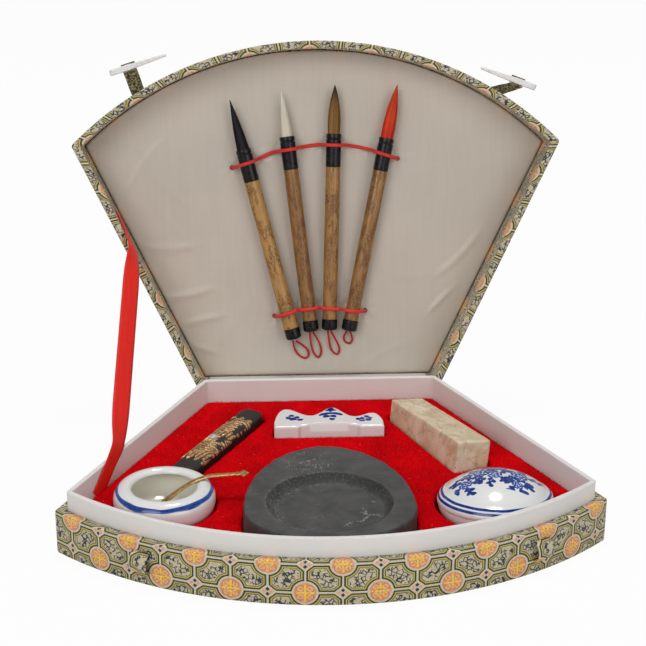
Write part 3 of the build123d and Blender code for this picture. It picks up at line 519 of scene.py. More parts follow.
def seal_look(place):
    here = from_spot(place, SEAL_CENTRE)
    cloud = grain(here, 0.06, 5.0, 0.6, 0.8)
    vein = seams(here.stretch((1, 0.6, 1)), 0.07)
    vein = (vein + (grain(here, 0.3, 4.0) - 0.5) * 0.35).size().rise(0.035, 0.0)
    fleck = cells(here, 0.42).rise(0.17, 0.09) * grain(here, 0.16).rise(0.46, 0.56)
    chip = (grain(here.stretch((1, 0.4, 1)), 0.5, 4.0, 0.7) - 0.5).size().rise(0.012, 0.004)
    colour = cloud.rise(0.3, 0.7).tint((0.60, 0.47, 0.29), (0.80, 0.71, 0.53))
    colour = (grain(here, 0.10, 3.0).rise(0.50, 0.68) * 0.5).tint(colour, (0.55, 0.33, 0.16))
    colour = (vein.most(chip * grain(here, 0.11).rise(0.48, 0.56)) * 0.5).tint(colour, (0.36, 0.24, 0.13))
    colour = (fleck * 0.85).tint(colour, (0.09, 0.07, 0.05))
    return {"Base Color": colour, "Roughness": cloud.spread(0.32, 0.5),
            "Height": (grain(here, 0.9, 4.0) - fleck * 0.6, 0.05)}


def porcelain_look(place):
    cobalt, bare, cream = (point_value(place, key) for key in ("cobalt", "bare", "cream"))
    pool = grain(place, 0.35, 3.0)
    wash = cobalt.rise(0.05, 0.95) * pool.rise(0.3, 0.6, 0.65, 1.0)
    ink = wash.tint((0.04, 0.15, 0.54), (0.003, 0.018, 0.16))
    # Inside the dish the glaze is darker and warmer: painted shade in the bowl, with a warmer glaze.
    glaze = cream.tint(toned(place, (0.78, 0.78, 0.77), 0.08, 0.05), (0.74, 0.71, 0.60))
    colour = cobalt.rise(0.03, 0.25).tint(glaze, ink)
    clay = toned(place, (0.60, 0.50, 0.42), 0.8, 0.3)
    return {"Base Color": bare.tint(colour, clay), "Roughness": bare.spread(0.14, 0.75),
            "Height": (pool * 0.5 + bare * grain(place, 2.0, 3.0), 0.03)}


def brass_look(place):
    tarnish = grain(place, 0.6, 4.0, 0.6, 0.5)
    brushed = grain(place, 3.0, 2.0)
    return {"Base Color": tarnish.rise(0.35, 0.65).tint((0.33, 0.20, 0.065), (0.62, 0.43, 0.17)),
            "Roughness": tarnish.rise(0.3, 0.7, 0.34, 0.55), "Height": (brushed, 0.02)}


def paste_look(place):
    return {"Base Color": toned(place, (0.50, 0.02, 0.015), 0.7, 0.4),
            "Height": (grain(place, 0.5, 4.0), 0.4)}


def cut_bamboo(place, seed, brown, marks):
    """Bamboo skin from a place along and round the stick: long grain, stains and thin burnt squiggles."""
    shifted = shifted_by(place, seed)
    long_grain = grain(shifted.stretch((0.03, 1.1, 1.0)), 1.0, 4.0, 0.6)
    stain = grain(shifted.stretch((0.09, 0.25, 1.0)), 1.0, 5.0, 0.7).rise(0.42, 0.66)
    field = grain(shifted.stretch((0.35, 0.75, 1.0)), 1.0, 3.0, 0.65, 0.8)
    squiggle = (field - 0.5).size().rise(0.05, 0.02).most(field.rise(0.60, 0.66))
    squiggle = squiggle * grain(shifted.stretch((0.07, 0.2, 1.0)), 1.0, 2.0).rise(0.45, 0.52) * marks
    depth = brown + (long_grain - 0.5) * 0.5 + stain * 0.22
    colour = depth.rise(0.0, 1.0).tint((0.52, 0.285, 0.075), (0.17, 0.06, 0.010))
    return squiggle.tint(colour, (0.085, 0.026, 0.008)), long_grain


BAMBOO = group("bamboo_skin", {"Place": "Vector", "Seed": "Vector", "Brown": "Float", "Marks": "Float"},
               {"Colour": "Color", "Grain": "Float"}, cut_bamboo)


def bamboo_look(seed, brown, marks):
    def recipe(place):
        colour, long_grain = use(place.tree, BAMBOO, place, (seed, 0.7 * seed, 0.0), brown, marks)
        return {"Base Color": colour, "Roughness": long_grain.spread(0.3, 0.5),
                "Height": (long_grain, 0.06)}
    return recipe


def horn_look(place):
    swirl = grain(place, 0.4, 4.0, 0.6, 0.8)
    return {"Base Color": swirl.rise(0.4, 0.7).tint((0.004, 0.004, 0.005), (0.014, 0.013, 0.012)),
            "Roughness": swirl.spread(0.20, 0.34), "Height": (grain(place, 1.2, 2.0), 0.008)}


def hair_look(root, tip, turn, streaks):
    """Hair that changes from the root colour to the tip colour about the share turn of its length."""
    def recipe(place):
        along, strand = point_value(place, "along"), point_value(place, "strand")
        streak = grain(place, 1.6, 2.0)
        colour = (along + (strand - 0.5) * 0.2).rise(turn - 0.25, turn + 0.15).tint(root, tip)
        return {"Base Color": shade(colour, strand.rise(0.1, 0.9, 1 - streaks, 1 + 0.6 * streaks)),
                "Roughness": streak.spread(0.35, 0.55)}
    return recipe


LOOKS = {
    "brocade": finish("brocade_cloth", {"Sheen Weight": 0.25, "Sheen Roughness": 0.4}, brocade_look, True),
    "grey_board": finish("grey_board", {}, paper_look((0.30, 0.28, 0.25), 0.08)),
    "white_paper": finish("white_paper", {}, paper_look((0.75, 0.725, 0.70))),
    "strap": finish("strap_brocade", {}, strap_look, True),
    "red_flock": finish("red_flock", {"Roughness": 0.95, "Specular IOR Level": 0.05, "Sheen Weight": 0.15,
                                      "Sheen Tint": (0.9, 0.02, 0.04)}, flock_look),
    "silk": finish("champagne_silk", {"Specular IOR Level": 0.45, "Sheen Weight": 0.1,
                                      "Sheen Roughness": 0.35}, silk_look, True),
    "red_cord": finish("red_elastic", {"Roughness": 0.55}, braid_look((0.88, 0.035, 0.028)), True),
    "dark_cord": finish("red_loop_cord", {"Roughness": 0.6}, braid_look((0.62, 0.015, 0.018)), True),
    # Near-black cord for the elastic knots: painted shade of the holes they sit in.
    "shaded_hole_cord": finish("cord_knot_hole_shade", {"Roughness": 0.8}, braid_look((0.05, 0.006, 0.006)), True),
    "red_ribbon": finish("red_satin_ribbon", {"Specular IOR Level": 0.3}, ribbon_look, True),
    "peg_white": finish("white_peg", {"Coat Weight": 0.3}, peg_look),
    "slate": finish("grey_slate", {}, slate_look),
    "ink_black": finish("ink_and_gold", {}, ink_look),
    "pearl": finish("silver_pearl", {"Metallic": 0.15}, pearl_look),
    "seal_beige": finish("seal_soapstone", {"Coat Weight": 0.15}, seal_look),
    "porcelain": finish("blue_and_white", {"Coat Weight": 0.25, "Coat Roughness": 0.05}, porcelain_look),
    "brass": finish("dull_brass", {"Metallic": 0.9}, brass_look),
    "cinnabar": finish("cinnabar_paste", {"Roughness": 0.5}, paste_look),
    "horn": finish("black_horn", {"Specular IOR Level": 0.3}, horn_look),
}
# Each handle: seed of its pattern, how brown it is, how many burnt marks it has.
BAMBOO_TONES = {"black": (3.0, 0.20, 1.0), "white": (47.0, 0.55, 0.8), "brown": (91.0, 0.42, 0.8),
                "red": (133.0, 0.50, 1.0)}
for key, tones in BAMBOO_TONES.items():
    LOOKS["bamboo_" + key] = finish("bamboo_" + key, {"Coat Weight": 0.2}, bamboo_look(*tones), True)
# Each tuft: root colour, tip colour, where one turns to the other, how streaked it is.
HAIR_TONES = {
    "black": ((0.006, 0.006, 0.007), (0.009, 0.009, 0.011), 0.5, 0.5),
    "white": ((0.84, 0.76, 0.61), (0.90, 0.86, 0.75), 0.5, 0.15),
    "brown": ((0.32, 0.16, 0.04), (0.035, 0.018, 0.010), 0.85, 0.65),
    "red": ((0.72, 0.035, 0.010), (0.85, 0.07, 0.015), 0.3, 0.45),
}
for key, tones in HAIR_TONES.items():
    LOOKS["hair_" + key] = finish("hair_" + key, {"Specular IOR Level": 0.25}, hair_look(*tones))


# ---- Making pieces ----

def within(value):
    """A value kept from 0 to 1."""
    return np.clip(value, 0, 1)


def unit(rows):
    """Each row at length one."""
    return rows / np.linalg.norm(rows, axis=1)[:, None]


def way_along(points):
    """How far along a run of points each of them lies."""
    return np.concatenate([[0.0], np.cumsum(np.linalg.norm(np.diff(points, axis=0), axis=1))])


def turned_by(turn, x, y):
    """A place in a plane, turned by an angle in radians."""
    return x * math.cos(turn) - y * math.sin(turn), x * math.sin(turn) + y * math.cos(turn)


def add_object(name, data):
    made = bpy.data.objects.new(name, data)
    bpy.context.scene.collection.objects.link(made)
    return made


def keep(name, mesh):
    """A new piece from a mesh whose doubles are merged and whose faces point outwards."""
    work = bmesh.new()
    work.from_mesh(mesh)
    bmesh.ops.remove_doubles(work, verts=work.verts, dist=1e-7)
    bmesh.ops.dissolve_degenerate(work, edges=work.edges, dist=1e-8)
    bmesh.ops.recalc_face_normals(work, faces=work.faces)
    for face in work.faces:
        face.smooth = True
    work.to_mesh(mesh)
    work.free()
    mesh.name = name
    return add_object(name, mesh)


def skin(name, rows, ring=False, tube=False, uv=None):
    """A skin through rows of points. ring closes each row, tube joins the last row to the first."""
    rows = np.asarray(rows, float)
    count, width = rows.shape[:2]
    i, j = np.meshgrid(np.arange(count if tube else count - 1), np.arange(width if ring else width - 1),
                       indexing="ij")
    corners = ((0, 0), (0, 1), (1, 1), (1, 0))
    quads = np.stack([(i + a) % count * width + (j + b) % width for a, b in corners], -1).reshape(-1, 4)
    mesh = bpy.data.meshes.new(name)
    mesh.from_pydata((rows.reshape(-1, 3) * MM).tolist(), [], quads.tolist())
    if uv is not None:
        spots = np.stack([np.asarray(uv)[i + a, j + b] for a, b in corners], -2)
        mesh.uv_layers.new(name="cloth").data.foreach_set("uv", spots.ravel())
    return keep(name, mesh)


def places(piece):
    """Where the points of a piece lie, in mm."""
    spots = np.zeros(len(piece.data.vertices) * 3)
    piece.data.vertices.foreach_get("co", spots)
    return spots.reshape(-1, 3) / MM


def mark(piece, **values):
    """Paint values on the points, from functions of the places in mm."""
    spots = places(piece)
    for key, paint in values.items():
        layer = piece.data.attributes.new(key, "FLOAT", "POINT")
        layer.data.foreach_set("value", within(paint(spots)).astype(np.float32))
    return piece


def seat(piece, body, look, *nodes, slot=None):
    """Give a piece its finish, its body and the solids it stands for; its slot is not used."""
    slot = slot or look
    if look:
        piece.data.materials.clear()
        piece.data.materials.append(LOOKS[look])
    if body:
        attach(piece, body)
    if nodes:
        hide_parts(*nodes)
    return piece


def dress(look, *nodes):
    for name in nodes:
        NODES[name].data.materials.clear()
        NODES[name].data.materials.append(LOOKS[look])


def evaluated(piece, name):
    """The piece's modifiers worked into a plain mesh of its own."""
    seen = piece.evaluated_get(bpy.context.evaluated_depsgraph_get())
    mesh = bpy.data.meshes.new_from_object(seen)
    bpy.data.objects.remove(piece)
    return keep(name, mesh)


def recast(name, nodes, voxel, smooth=2, swell=0.0):
    """Solids poured again as one piece with softened edges."""
    work = bmesh.new()
    for node_name in nodes:
        work.from_mesh(NODES[node_name].data)
    bmesh.ops.remove_doubles(work, verts=work.verts, dist=1e-6)
    mesh = bpy.data.meshes.new(name)
    work.to_mesh(mesh)
    work.free()
    mesh.materials.clear()
    rough = add_object(name + "_rough", mesh)
    if swell:
        grow = rough.modifiers.new("pile", "DISPLACE")
        grow.strength, grow.mid_level = swell * MM, 0.0
    pour = rough.modifiers.new("pour", "REMESH")
    pour.mode, pour.voxel_size = "VOXEL", voxel * MM
    ease = rough.modifiers.new("ease", "SMOOTH")
    ease.factor, ease.iterations = 0.5, smooth
    return evaluated(rough, name)


def push(piece, move):
    """Move every point of a piece by a function of its place, in mm."""
    piece.data.vertices.foreach_set("co", (move(places(piece)) * MM).ravel())
    piece.data.update()
    return piece


def swung(points):
    """Points drawn on the closed lid, turned back to where it stands."""
    spots = np.asarray(points, float) - (0, HINGE_Y, BASE_HEIGHT)
    y, z = turned_by(math.radians(-OPEN_ANGLE), spots[..., 1], spots[..., 2])
    return np.stack([spots[..., 0], y + HINGE_Y, z + BASE_HEIGHT], -1)


def on_lid(x, reach, depth):
    """A point of the open lid, by its distance from the hinge and below the mouth."""
    y = HINGE_Y - np.asarray(reach, float)
    return swung(np.stack(np.broadcast_arrays(x, y, BASE_HEIGHT + depth), -1))


def steps(start, end, gap):
    """Points from start up to, but without, end."""
    start, end = np.asarray(start, float), np.asarray(end, float)
    count = max(1, int(np.linalg.norm(end - start) / gap))
    return [start + (end - start) * k / count for k in range(count)]


def soften(corners, closed=False, gap=2.5, turns=5):
    """A run of points through corners (x, y, trim), each corner rounded back by its trim."""
    points, count = [], len(corners)
    for k, (*spot, trim) in enumerate(corners):
        spot = np.asarray(spot, float)
        before = np.asarray(corners[k - 1][:-1], float)
        after = np.asarray(corners[(k + 1) % count][:-1], float)
        if not closed and k in (0, count - 1):
            bend = [spot]
        else:
            enter = spot + (before - spot) / np.linalg.norm(before - spot) * trim
            leave = spot + (after - spot) / np.linalg.norm(after - spot) * trim
            share = np.linspace(0, 1, turns)[:, None] if trim else np.array([[0.0]])
            bend = list((1 - share) ** 2 * enter + 2 * share * (1 - share) * spot + share ** 2 * leave)
        if points:
            points += steps(points.pop(), bend[0], gap)
        points += bend
    if closed:
        points += steps(points.pop(), points[0], gap)
    return np.array(points)


def fan_corners(inset):
    """Where the back and the front corners of the case's outline, moved inwards, lie on the right."""
    back = np.array([HINGE_WIDTH / 2 - inset * (1 - ALONG) / ACROSS, HINGE_Y - inset])
    radius, rise = ARC_RADIUS - inset, back[1] - ARC_Y
    half = back[0] * ALONG - rise * ACROSS
    run = math.sqrt(half ** 2 - back[0] ** 2 - rise ** 2 + radius ** 2) - half
    return back, back + run * np.array([ALONG, -ACROSS])


def fan_ring(inset, corner, height=0.0):
    """The case's outline moved inwards, from the middle of the back round by the left side."""
    on_back, on_corner, on_side, on_front = 26, 6, 62, 122
    (bx, by), (fx, fy) = fan_corners(inset + corner)
    lean = math.atan2(ALONG, ACROSS)
    front = math.atan2(fy - ARC_Y, fx)

    def turn(x, y, start, end, count, radius):
        angles = np.linspace(start, end, count, endpoint=False)
        return np.stack([x + radius * np.cos(angles), y + radius * np.sin(angles)], -1)

    half_turn, back_turn = math.pi, math.pi / 2
    left = [turn(-bx, by, back_turn, half_turn - lean, on_corner, corner),
            turn(-fx, fy, half_turn - lean, half_turn - front, on_corner, corner)]
    right = [turn(fx, fy, front, lean, on_corner, corner), turn(bx, by, lean, back_turn, on_corner, corner)]
    end_left = turn(-bx, by, half_turn - lean, half_turn, 1, corner)
    end_right = turn(fx, fy, lean, half_turn, 1, corner)
    back_end = turn(bx, by, back_turn, half_turn, 1, corner)
    middle = np.array([[0.0, HINGE_Y - inset]])
    curve = turn(0, ARC_Y, half_turn - front, 2 * half_turn + front, on_front, ARC_RADIUS - inset)

    def straight(start, end, count):
        return start + (end - start) * np.linspace(0, 1, count, endpoint=False)[:, None]

    ring = np.concatenate([
        straight(middle, left[0][:1], on_back), left[0], straight(end_left, left[1][:1], on_side), left[1],
        curve, right[0], straight(end_right, right[1][:1], on_side), right[1],
        straight(back_end, middle, on_back)])
    return np.column_stack([ring, np.full(len(ring), height)])


OUTLINE = fan_ring(0.0, CORNER)
WAY = way_along(np.vstack([OUTLINE, OUTLINE[:1]]))
WAY -= WAY[-1] / 2


def as_drawn(points):
    return points


def fan_wall(name, profile, shift=(0.0, 0.0), place=as_drawn):
    """A cloth-covered wall round the case, from its cross-section as (inset, height)."""
    depth = max(point[0] for point in profile)
    rows = [place(fan_ring(inset, CORNER + (RIM_ROUND - CORNER) * inset / depth, height))
            for inset, height in profile]
    run = way_along(np.vstack([profile, profile[:1]]))
    uv = np.stack(np.meshgrid(run + shift[1], WAY + shift[0], indexing="ij")[::-1], -1)
    return skin(name, rows, ring=True, tube=True, uv=uv)


def fan_panel(name, rows, place, shift=(0.0, 0.0)):
    """A flat board in the case's outline: rows of (inset, height) closed by a face at each end."""
    rings = [fan_ring(inset, CORNER, height) for inset, height in rows]
    count = len(rings[0])
    points = np.concatenate(rings)
    mesh = bpy.data.meshes.new(name)
    faces = [(k * count + j, k * count + (j + 1) % count,
              (k + 1) * count + (j + 1) % count, (k + 1) * count + j)
             for k in range(len(rings) - 1) for j in range(count)]
    faces += [tuple(range(count)), tuple(range(len(points) - count, len(points)))]
    mesh.from_pydata((place(points) * MM).tolist(), [], faces)
    corner_of = np.zeros(len(mesh.loops), int)
    mesh.loops.foreach_get("vertex_index", corner_of)
    mesh.uv_layers.new(name="cloth").data.foreach_set("uv", (points[corner_of, :2] + shift).ravel())
    return keep(name, mesh)


def band(name, path, sides, width, thick, across=7):
    """A flat band along a path, with the unit way across it at each point."""
    path, sides = np.asarray(path, float), np.asarray(sides, float)
    width = np.broadcast_to(width, len(path))
    along = unit(np.gradient(path, axis=0))
    up = unit(np.cross(along, sides))
    spread = np.linspace(-0.5, 0.5, across)
    out = np.concatenate([spread, spread[::-1]])
    lift = np.concatenate([np.full(across, 0.5), np.full(across, -0.5)]) * thick
    lift[[0, across - 1, across, -1]] *= 0.5
    ends = (path[0] - along[0] * thick / 3, path[-1] + along[-1] * thick / 3)
    path = np.concatenate([[ends[0]], path, [ends[1]]])
    sides, up = (np.concatenate([row[:1], row, row[-1:]]) for row in (sides, up))
    width = np.concatenate([width[:1], width, width[-1:]])
    share = np.ones(len(path))
    share[[0, -1]] = 0.0
    out = out[None] * width[:, None]
    rows = path[:, None] + sides[:, None] * out[..., None] + up[:, None] * (lift * share[:, None])[..., None]
    run = way_along(path)
    u = np.concatenate([out + width[:, None] / 2, np.zeros((len(path), 1))], 1)
    return skin(name, rows, ring=True, uv=np.stack([u, np.broadcast_to(run[:, None], u.shape)], -1))


def lathe(name, profile, origin, axis, start, place=as_drawn, count=48, shaped=None):
    """A turned piece from (radius, height) points; the seam lies at the start side."""
    profile = np.asarray(profile, float)
    axis, start = np.asarray(axis, float), np.asarray(start, float)
    axis, start = axis / np.linalg.norm(axis), start / np.linalg.norm(start)
    side = np.cross(axis, start)
    angles = np.linspace(0, math.tau, count, endpoint=False)
    radius = np.repeat(profile[:, :1], count, 1)
    if shaped is not None:
        radius = shaped(radius, profile[:, 1:], angles[None])
    rows = (np.asarray(origin, float) + profile[:, 1][:, None, None] * axis
            + radius[..., None] * (np.cos(angles)[:, None] * start + np.sin(angles)[:, None] * side))
    run = way_along(profile)
    round_way = np.linspace(0, math.tau * profile[:, 0].max(), count + 1)
    uv = np.stack(np.meshgrid(run, round_way, indexing="ij"), -1)
    return skin(name, place(rows), ring=True, uv=uv)


def arc(first, middle, last, count=10):
    """Points along the circle through three points, from the first up to, but without, the last."""
    (ax, ay), (bx, by), (cx, cy) = first, middle, last
    d = 2 * (ax * (by - cy) + bx * (cy - ay) + cx * (ay - by))
    sa, sb, sc = ax * ax + ay * ay, bx * bx + by * by, cx * cx + cy * cy
    ux = (sa * (by - cy) + sb * (cy - ay) + sc * (ay - by)) / d
    uy = (sa * (cx - bx) + sb * (ax - cx) + sc * (bx - ax)) / d
    start, mid, end = (math.atan2(y - uy, x - ux) for x, y in (first, middle, last))
    mid, end = (start + (turn - start) % math.tau for turn in (mid, end))
    if mid > end:
        end -= math.tau
    turns = np.linspace(start, end, count, endpoint=False)
    radius = math.hypot(ax - ux, ay - uy)
    return [(ux + radius * math.cos(t), uy + radius * math.sin(t)) for t in turns]


def spline_points(route, close=8):
    """The smooth line of a cord whose route points are in mm, read back in mm."""
    data = bpy.data.curves.new("route", "CURVE")
    data.dimensions, data.resolution_u = "3D", close
    spline = data.splines.new("NURBS")
    spline.points.add(len(route) - 1)
    for point, spot in zip(spline.points, route):
        point.co = (*(np.asarray(spot, float) * MM), 1.0)
    spline.order_u = 3
    spline.use_endpoint_u = True
    line = add_object("route", data)
    mesh = bpy.data.meshes.new_from_object(line.evaluated_get(bpy.context.evaluated_depsgraph_get()))
    points = np.array([vertex.co for vertex in mesh.vertices]) / MM
    bpy.data.objects.remove(line)
    bpy.data.meshes.remove(mesh)
    return points


def round_cord(name, points, radius, pitch):
    """A round cord along points; its braid repeats every pitch."""
    count = 12
    along = unit(np.gradient(points, axis=0))
    side = np.cross(along[0], (0.3, 0.9, 0.31))
    sides = []
    for way in along:
        side = side - way * np.dot(side, way)
        side = side / np.linalg.norm(side)
        sides.append(side)
    sides = np.array(sides)
    ups = np.cross(along, sides)
    angles = np.linspace(0, math.tau, count, endpoint=False)
    rim = np.cos(angles)[:, None, None] * sides + np.sin(angles)[:, None, None] * ups
    rows = points[:, None] + radius * rim.transpose(1, 0, 2)
    start, end = (np.repeat(spot[:, None], count, 1) for spot in (points[:1], points[-1:]))
    rows = np.concatenate([start, rows, end])
    run = way_along(points) / pitch
    run = np.concatenate([run[:1], run, run[-1:]])
    uv = np.stack(np.meshgrid(run, np.linspace(0, 3, count + 1), indexing="ij"), -1)
    return skin(name, rows, ring=True, uv=uv)


# ---- Case ----

def cloth_case():
    base_wall = soften([(0, 0, 0.7), (0, BASE_HEIGHT, 1.0), (BASE_WALL, BASE_HEIGHT, 0.5),
                        (BASE_WALL, 0, 0.5)], closed=True)
    seat(fan_wall("base_cloth_wall", base_wall, BASE_PATTERN), "base", "brocade", "base_outer_wall")
    mouth, top = BASE_HEIGHT + LID_SEAM, BASE_HEIGHT + LID_HEIGHT
    lid_wall = soften([(0, mouth, 0.8), (0, top, 1.2), (LID_WALL, top, 0.4),
                       (LID_WALL, mouth, 0.8)], closed=True)
    seat(fan_wall("lid_cloth_wall", lid_wall, LID_PATTERN, swung), "lid", "brocade", "lid_side_wall")
    lip = top + PANEL_LIP
    edge = [(LID_WALL + 0.1, top - BOARD), (LID_WALL + 0.1, top + 0.02), (1.3, top + 0.02), (1.0, top + 0.2),
            (1.15, lip - 0.12), (1.5, lip - 0.02), (2.2, lip)]
    seat(fan_panel("lid_cloth_panel", edge, swung, LID_PATTERN), "lid", "brocade", "lid_board")
    dress("white_paper", "neck_liner", "hinge_liner")
    dress("grey_board", "base_board")


def hinge_strip():
    """One cloth strip over the hinge, from the back of the base to the back of the lid."""
    lid_way = swung([(0, HINGE_Y, BASE_HEIGHT), (0, HINGE_Y, BASE_HEIGHT + 1)])
    lid_way = (lid_way[1] - lid_way[0])[1:]
    corner = np.array([HINGE_Y + 0.35, BASE_HEIGHT - 0.45])
    path = soften([(HINGE_Y + 0.3, HINGE_STRIP_FOOT, 0), (*corner, 1.4),
                   (*(corner + lid_way * HINGE_STRIP_REACH), 0)], gap=1.5, turns=7)
    path = np.column_stack([np.zeros(len(path)), path])
    sides = np.tile((1.0, 0, 0), (len(path), 1))
    width = HINGE_WIDTH - 2 * HINGE_STRIP_INSET
    strip = band("hinge_cloth_strip", path, sides, width, HINGE_STRIP_THICK, across=60)
    seat(strip, None, "brocade", "hinge_cloth_base", "hinge_cloth_lid")
    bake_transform(strip)


def creases(x, reach):
    """How far the silk stands off its board: puckers round the cord holes and a few long creases."""
    height = np.zeros_like(x)
    for k, (px, pv) in enumerate(UPPER_PINS + LOWER_PINS):
        dx, dv = x - px, reach - pv
        away = np.hypot(dx, dv)
        turn = np.arctan2(dv, dx)
        around = np.exp(-((away - PUCKER_REACH) / PUCKER_WIDTH) ** 2)
        height += PUCKER_HEIGHT * np.cos(PUCKERS * turn + 1.7 * k) * around
        height -= DIMPLE_DEPTH * np.exp(-(away / DIMPLE_WIDTH) ** 2)
    for (ax, av), (bx, bv), tall, wide in SILK_CREASES:
        run = np.hypot(bx - ax, bv - av)
        along = ((x - ax) * (bx - ax) + (reach - av) * (bv - av)) / run
        off = (x - ax) * (bv - av) / run - (reach - av) * (bx - ax) / run
        off = off + 1.5 * np.sin(along * 0.09 + ax)
        ends = within(along / 12) * within((run - along) / 12)
        height += tall * np.exp(-(off / wide) ** 2) * within(ends)
    return height


def near_line(spots, line):
    """How far each place lies from a broken line, in two axes."""
    away = np.full(len(spots), np.inf)
    for start, end in zip(line, line[1:]):
        start, run = np.asarray(start, float), np.subtract(end, start)
        share = within((spots[:, :2] - start) @ run / (run @ run))
        away = np.minimum(away, np.linalg.norm(spots[:, :2] - start - share[:, None] * run, axis=1))
    return away


def silk_lining():
    inset = LINING_INSET
    back, front = fan_corners(inset)
    deep = HINGE_Y - inset - (ARC_Y - ARC_RADIUS + inset)
    reach = np.linspace(0, 1, SILK_ROWS)[:, None] * deep + inset
    y = HINGE_Y - reach
    side = back[0] + (back[1] - y) * ALONG / ACROSS
    curve = np.sqrt(np.maximum((ARC_RADIUS - inset) ** 2 - (ARC_Y - y) ** 2, 0.0))
    half = np.where(y < front[1], curve, side)
    share = np.linspace(-1, 1, SILK_COLUMNS)[None]
    x = half * share
    reach = np.broadcast_to(reach, x.shape)
    edge = np.minimum.reduce([half * (1 - np.abs(share)), reach - inset, deep + inset - reach])
    drop = EDGE_DROP * np.exp(-edge / EDGE_REACH)
    top = on_lid(x, reach, LINING_DEPTH - creases(x, reach) * within(edge / 3) + drop - 0.05)
    under = on_lid(x, reach, np.full(x.shape, LINING_DEPTH + SILK_THICK))
    rows = np.concatenate([top, under[:, ::-1]], 1)
    ends = np.concatenate([under, under[:, ::-1]], 1)
    rows = np.concatenate([ends[:1], rows, ends[-1:]])
    flat = np.stack([x, reach], -1)
    flat = np.concatenate([flat, flat[:, ::-1], flat[:, :1]], 1)
    flat = np.concatenate([flat[:1], flat, flat[-1:]])
    seat(skin("silk_lining", rows, ring=True, uv=flat), "lid", "silk", "lid_lining")


# ---- Tray ----

def blade_scatter():
    """Flock: short blades scattered over the parts of a surface that face up."""
    tree, given, leave = new_tree("flock_pile", "Geometry", {
        "Cloth": "Geometry", "Per square metre": "Float", "Length": "Float", "Width": "Float", "Seed": "Int",
        "Finish": "Material"}, {"Pile": "Geometry"})
    facing = node(tree, "GeometryNodeInputNormal").parts()[2].step("GREATER_THAN", 0.25)
    strewn = node(tree, "GeometryNodeDistributePointsOnFaces",
                  {"Mesh": given["Cloth"], "Selection": facing, "Density": given["Per square metre"],
                   "Seed": given["Seed"]})
    turned = Wire(tree, strewn.socket.node.outputs["Rotation"])
    blade = node(tree, "GeometryNodeMeshCone",
                 {"Vertices": 3, "Radius Top": given["Width"] * 0.3, "Radius Bottom": given["Width"],
                  "Depth": given["Length"]}, fill_type="NONE")
    lean = node(tree, "FunctionNodeRandomValue", {0: (-0.7, -0.7, -3.1), 1: (0.7, 0.7, 3.1), "Seed": 3},
                data_type="FLOAT_VECTOR")
    tipped = node(tree, "FunctionNodeRotateEuler", {"Rotation": turned, "Rotate By": lean}, space="LOCAL")
    size = node(tree, "FunctionNodeRandomValue", {2: 0.5, 3: 1.1, "Seed": 5}, output=1, data_type="FLOAT")
    placed = node(tree, "GeometryNodeInstanceOnPoints",
                  {"Points": strewn, "Instance": blade, "Rotation": tipped, "Scale": size})
    real = node(tree, "GeometryNodeRealizeInstances", {"Geometry": placed})
    dyed = node(tree, "GeometryNodeSetMaterial", {"Geometry": real, "Material": given["Finish"]})
    put(dyed, leave.inputs[0])
    return tree


def apply_tree(piece, name, tree, values):
    """Run a geometry tree on a piece and keep its result as a new piece."""
    change = piece.modifiers.new("made", "NODES")
    change.node_group = tree
    for socket in tree.interface.items_tree:
        if socket.in_out == "INPUT" and socket.name in values:
            change[socket.identifier] = values[socket.name]
    return evaluated(piece, name)


def flocked_tray():
    blocks = [f"tray_{row}_{side}" for row in ("front", "back") for side in ("left", "middle", "right")]
    tray = recast("tray_flock", blocks, voxel=1.15, smooth=3, swell=0.15)
    seat(tray, "base", "red_flock", *blocks)
    ground = add_object("pile_ground", tray.data.copy())
    pile = apply_tree(ground, "tray_flock_pile", blade_scatter(), {
        "Per square metre": PILE_DENSITY, "Length": PILE_LENGTH * MM, "Width": PILE_WIDTH * MM, "Seed": 11,
        "Finish": LOOKS["red_flock"]})
    seat(pile, "base", None, slot="red_flock")


# ---- Things in the tray ----

def well_away(spots):
    return np.hypot(spots[:, 0] - WELL_CENTRE[0], spots[:, 1] - WELL_CENTRE[1])


def worked_face(spots):
    return spots[:, 2] > STONE_TOP - WELL_DEPTH - 1


def well_shade_and_dust(spots):
    """Painted shade on the steep wall of the well, strongest at its back; the same mask adds pale dust specks.
    """
    away = well_away(spots)
    wall = within((away - WELL_FLOOR + 1.5) / (WELL_RADIUS - WELL_FLOOR))
    wall = wall * within((WELL_RADIUS + 0.1 - away) / 0.5)
    back = np.clip(0.6 + (spots[:, 1] - WELL_CENTRE[1] + 0.5 * (spots[:, 0] - WELL_CENTRE[0])) / 42, 0.1, 1)
    return wall * back * within((STONE_TOP + 0.5 - spots[:, 2]) / 0.8)


def stone_dust(spots):
    away = well_away(spots)
    foot = np.exp(-((away - WELL_FLOOR + 0.4) / 1.2) ** 2)
    rim = np.exp(-((away - WELL_RADIUS - 0.2) / 0.6) ** 2)
    left = np.clip(0.6 - (spots[:, 0] - WELL_CENTRE[0]) / 45, 0.2, 1)
    streak = (away > 24) * (away < WELL_RADIUS) * within(-(spots[:, 0] - WELL_CENTRE[0]) / 30 - 0.2) * 0.8
    return np.maximum(np.maximum(foot, rim) * left, streak) * worked_face(spots)


def stone_crack(spots):
    jag = np.array([noise.noise_vector(Vector(spot) * 0.7) for spot in spots])
    away = np.min([near_line(spots + jag * 1.3, line) for line in STONE_CRACKS], axis=0)
    return np.exp(-(away / 0.34) ** 2) * (jag[:, 2] > -0.15) * worked_face(spots)


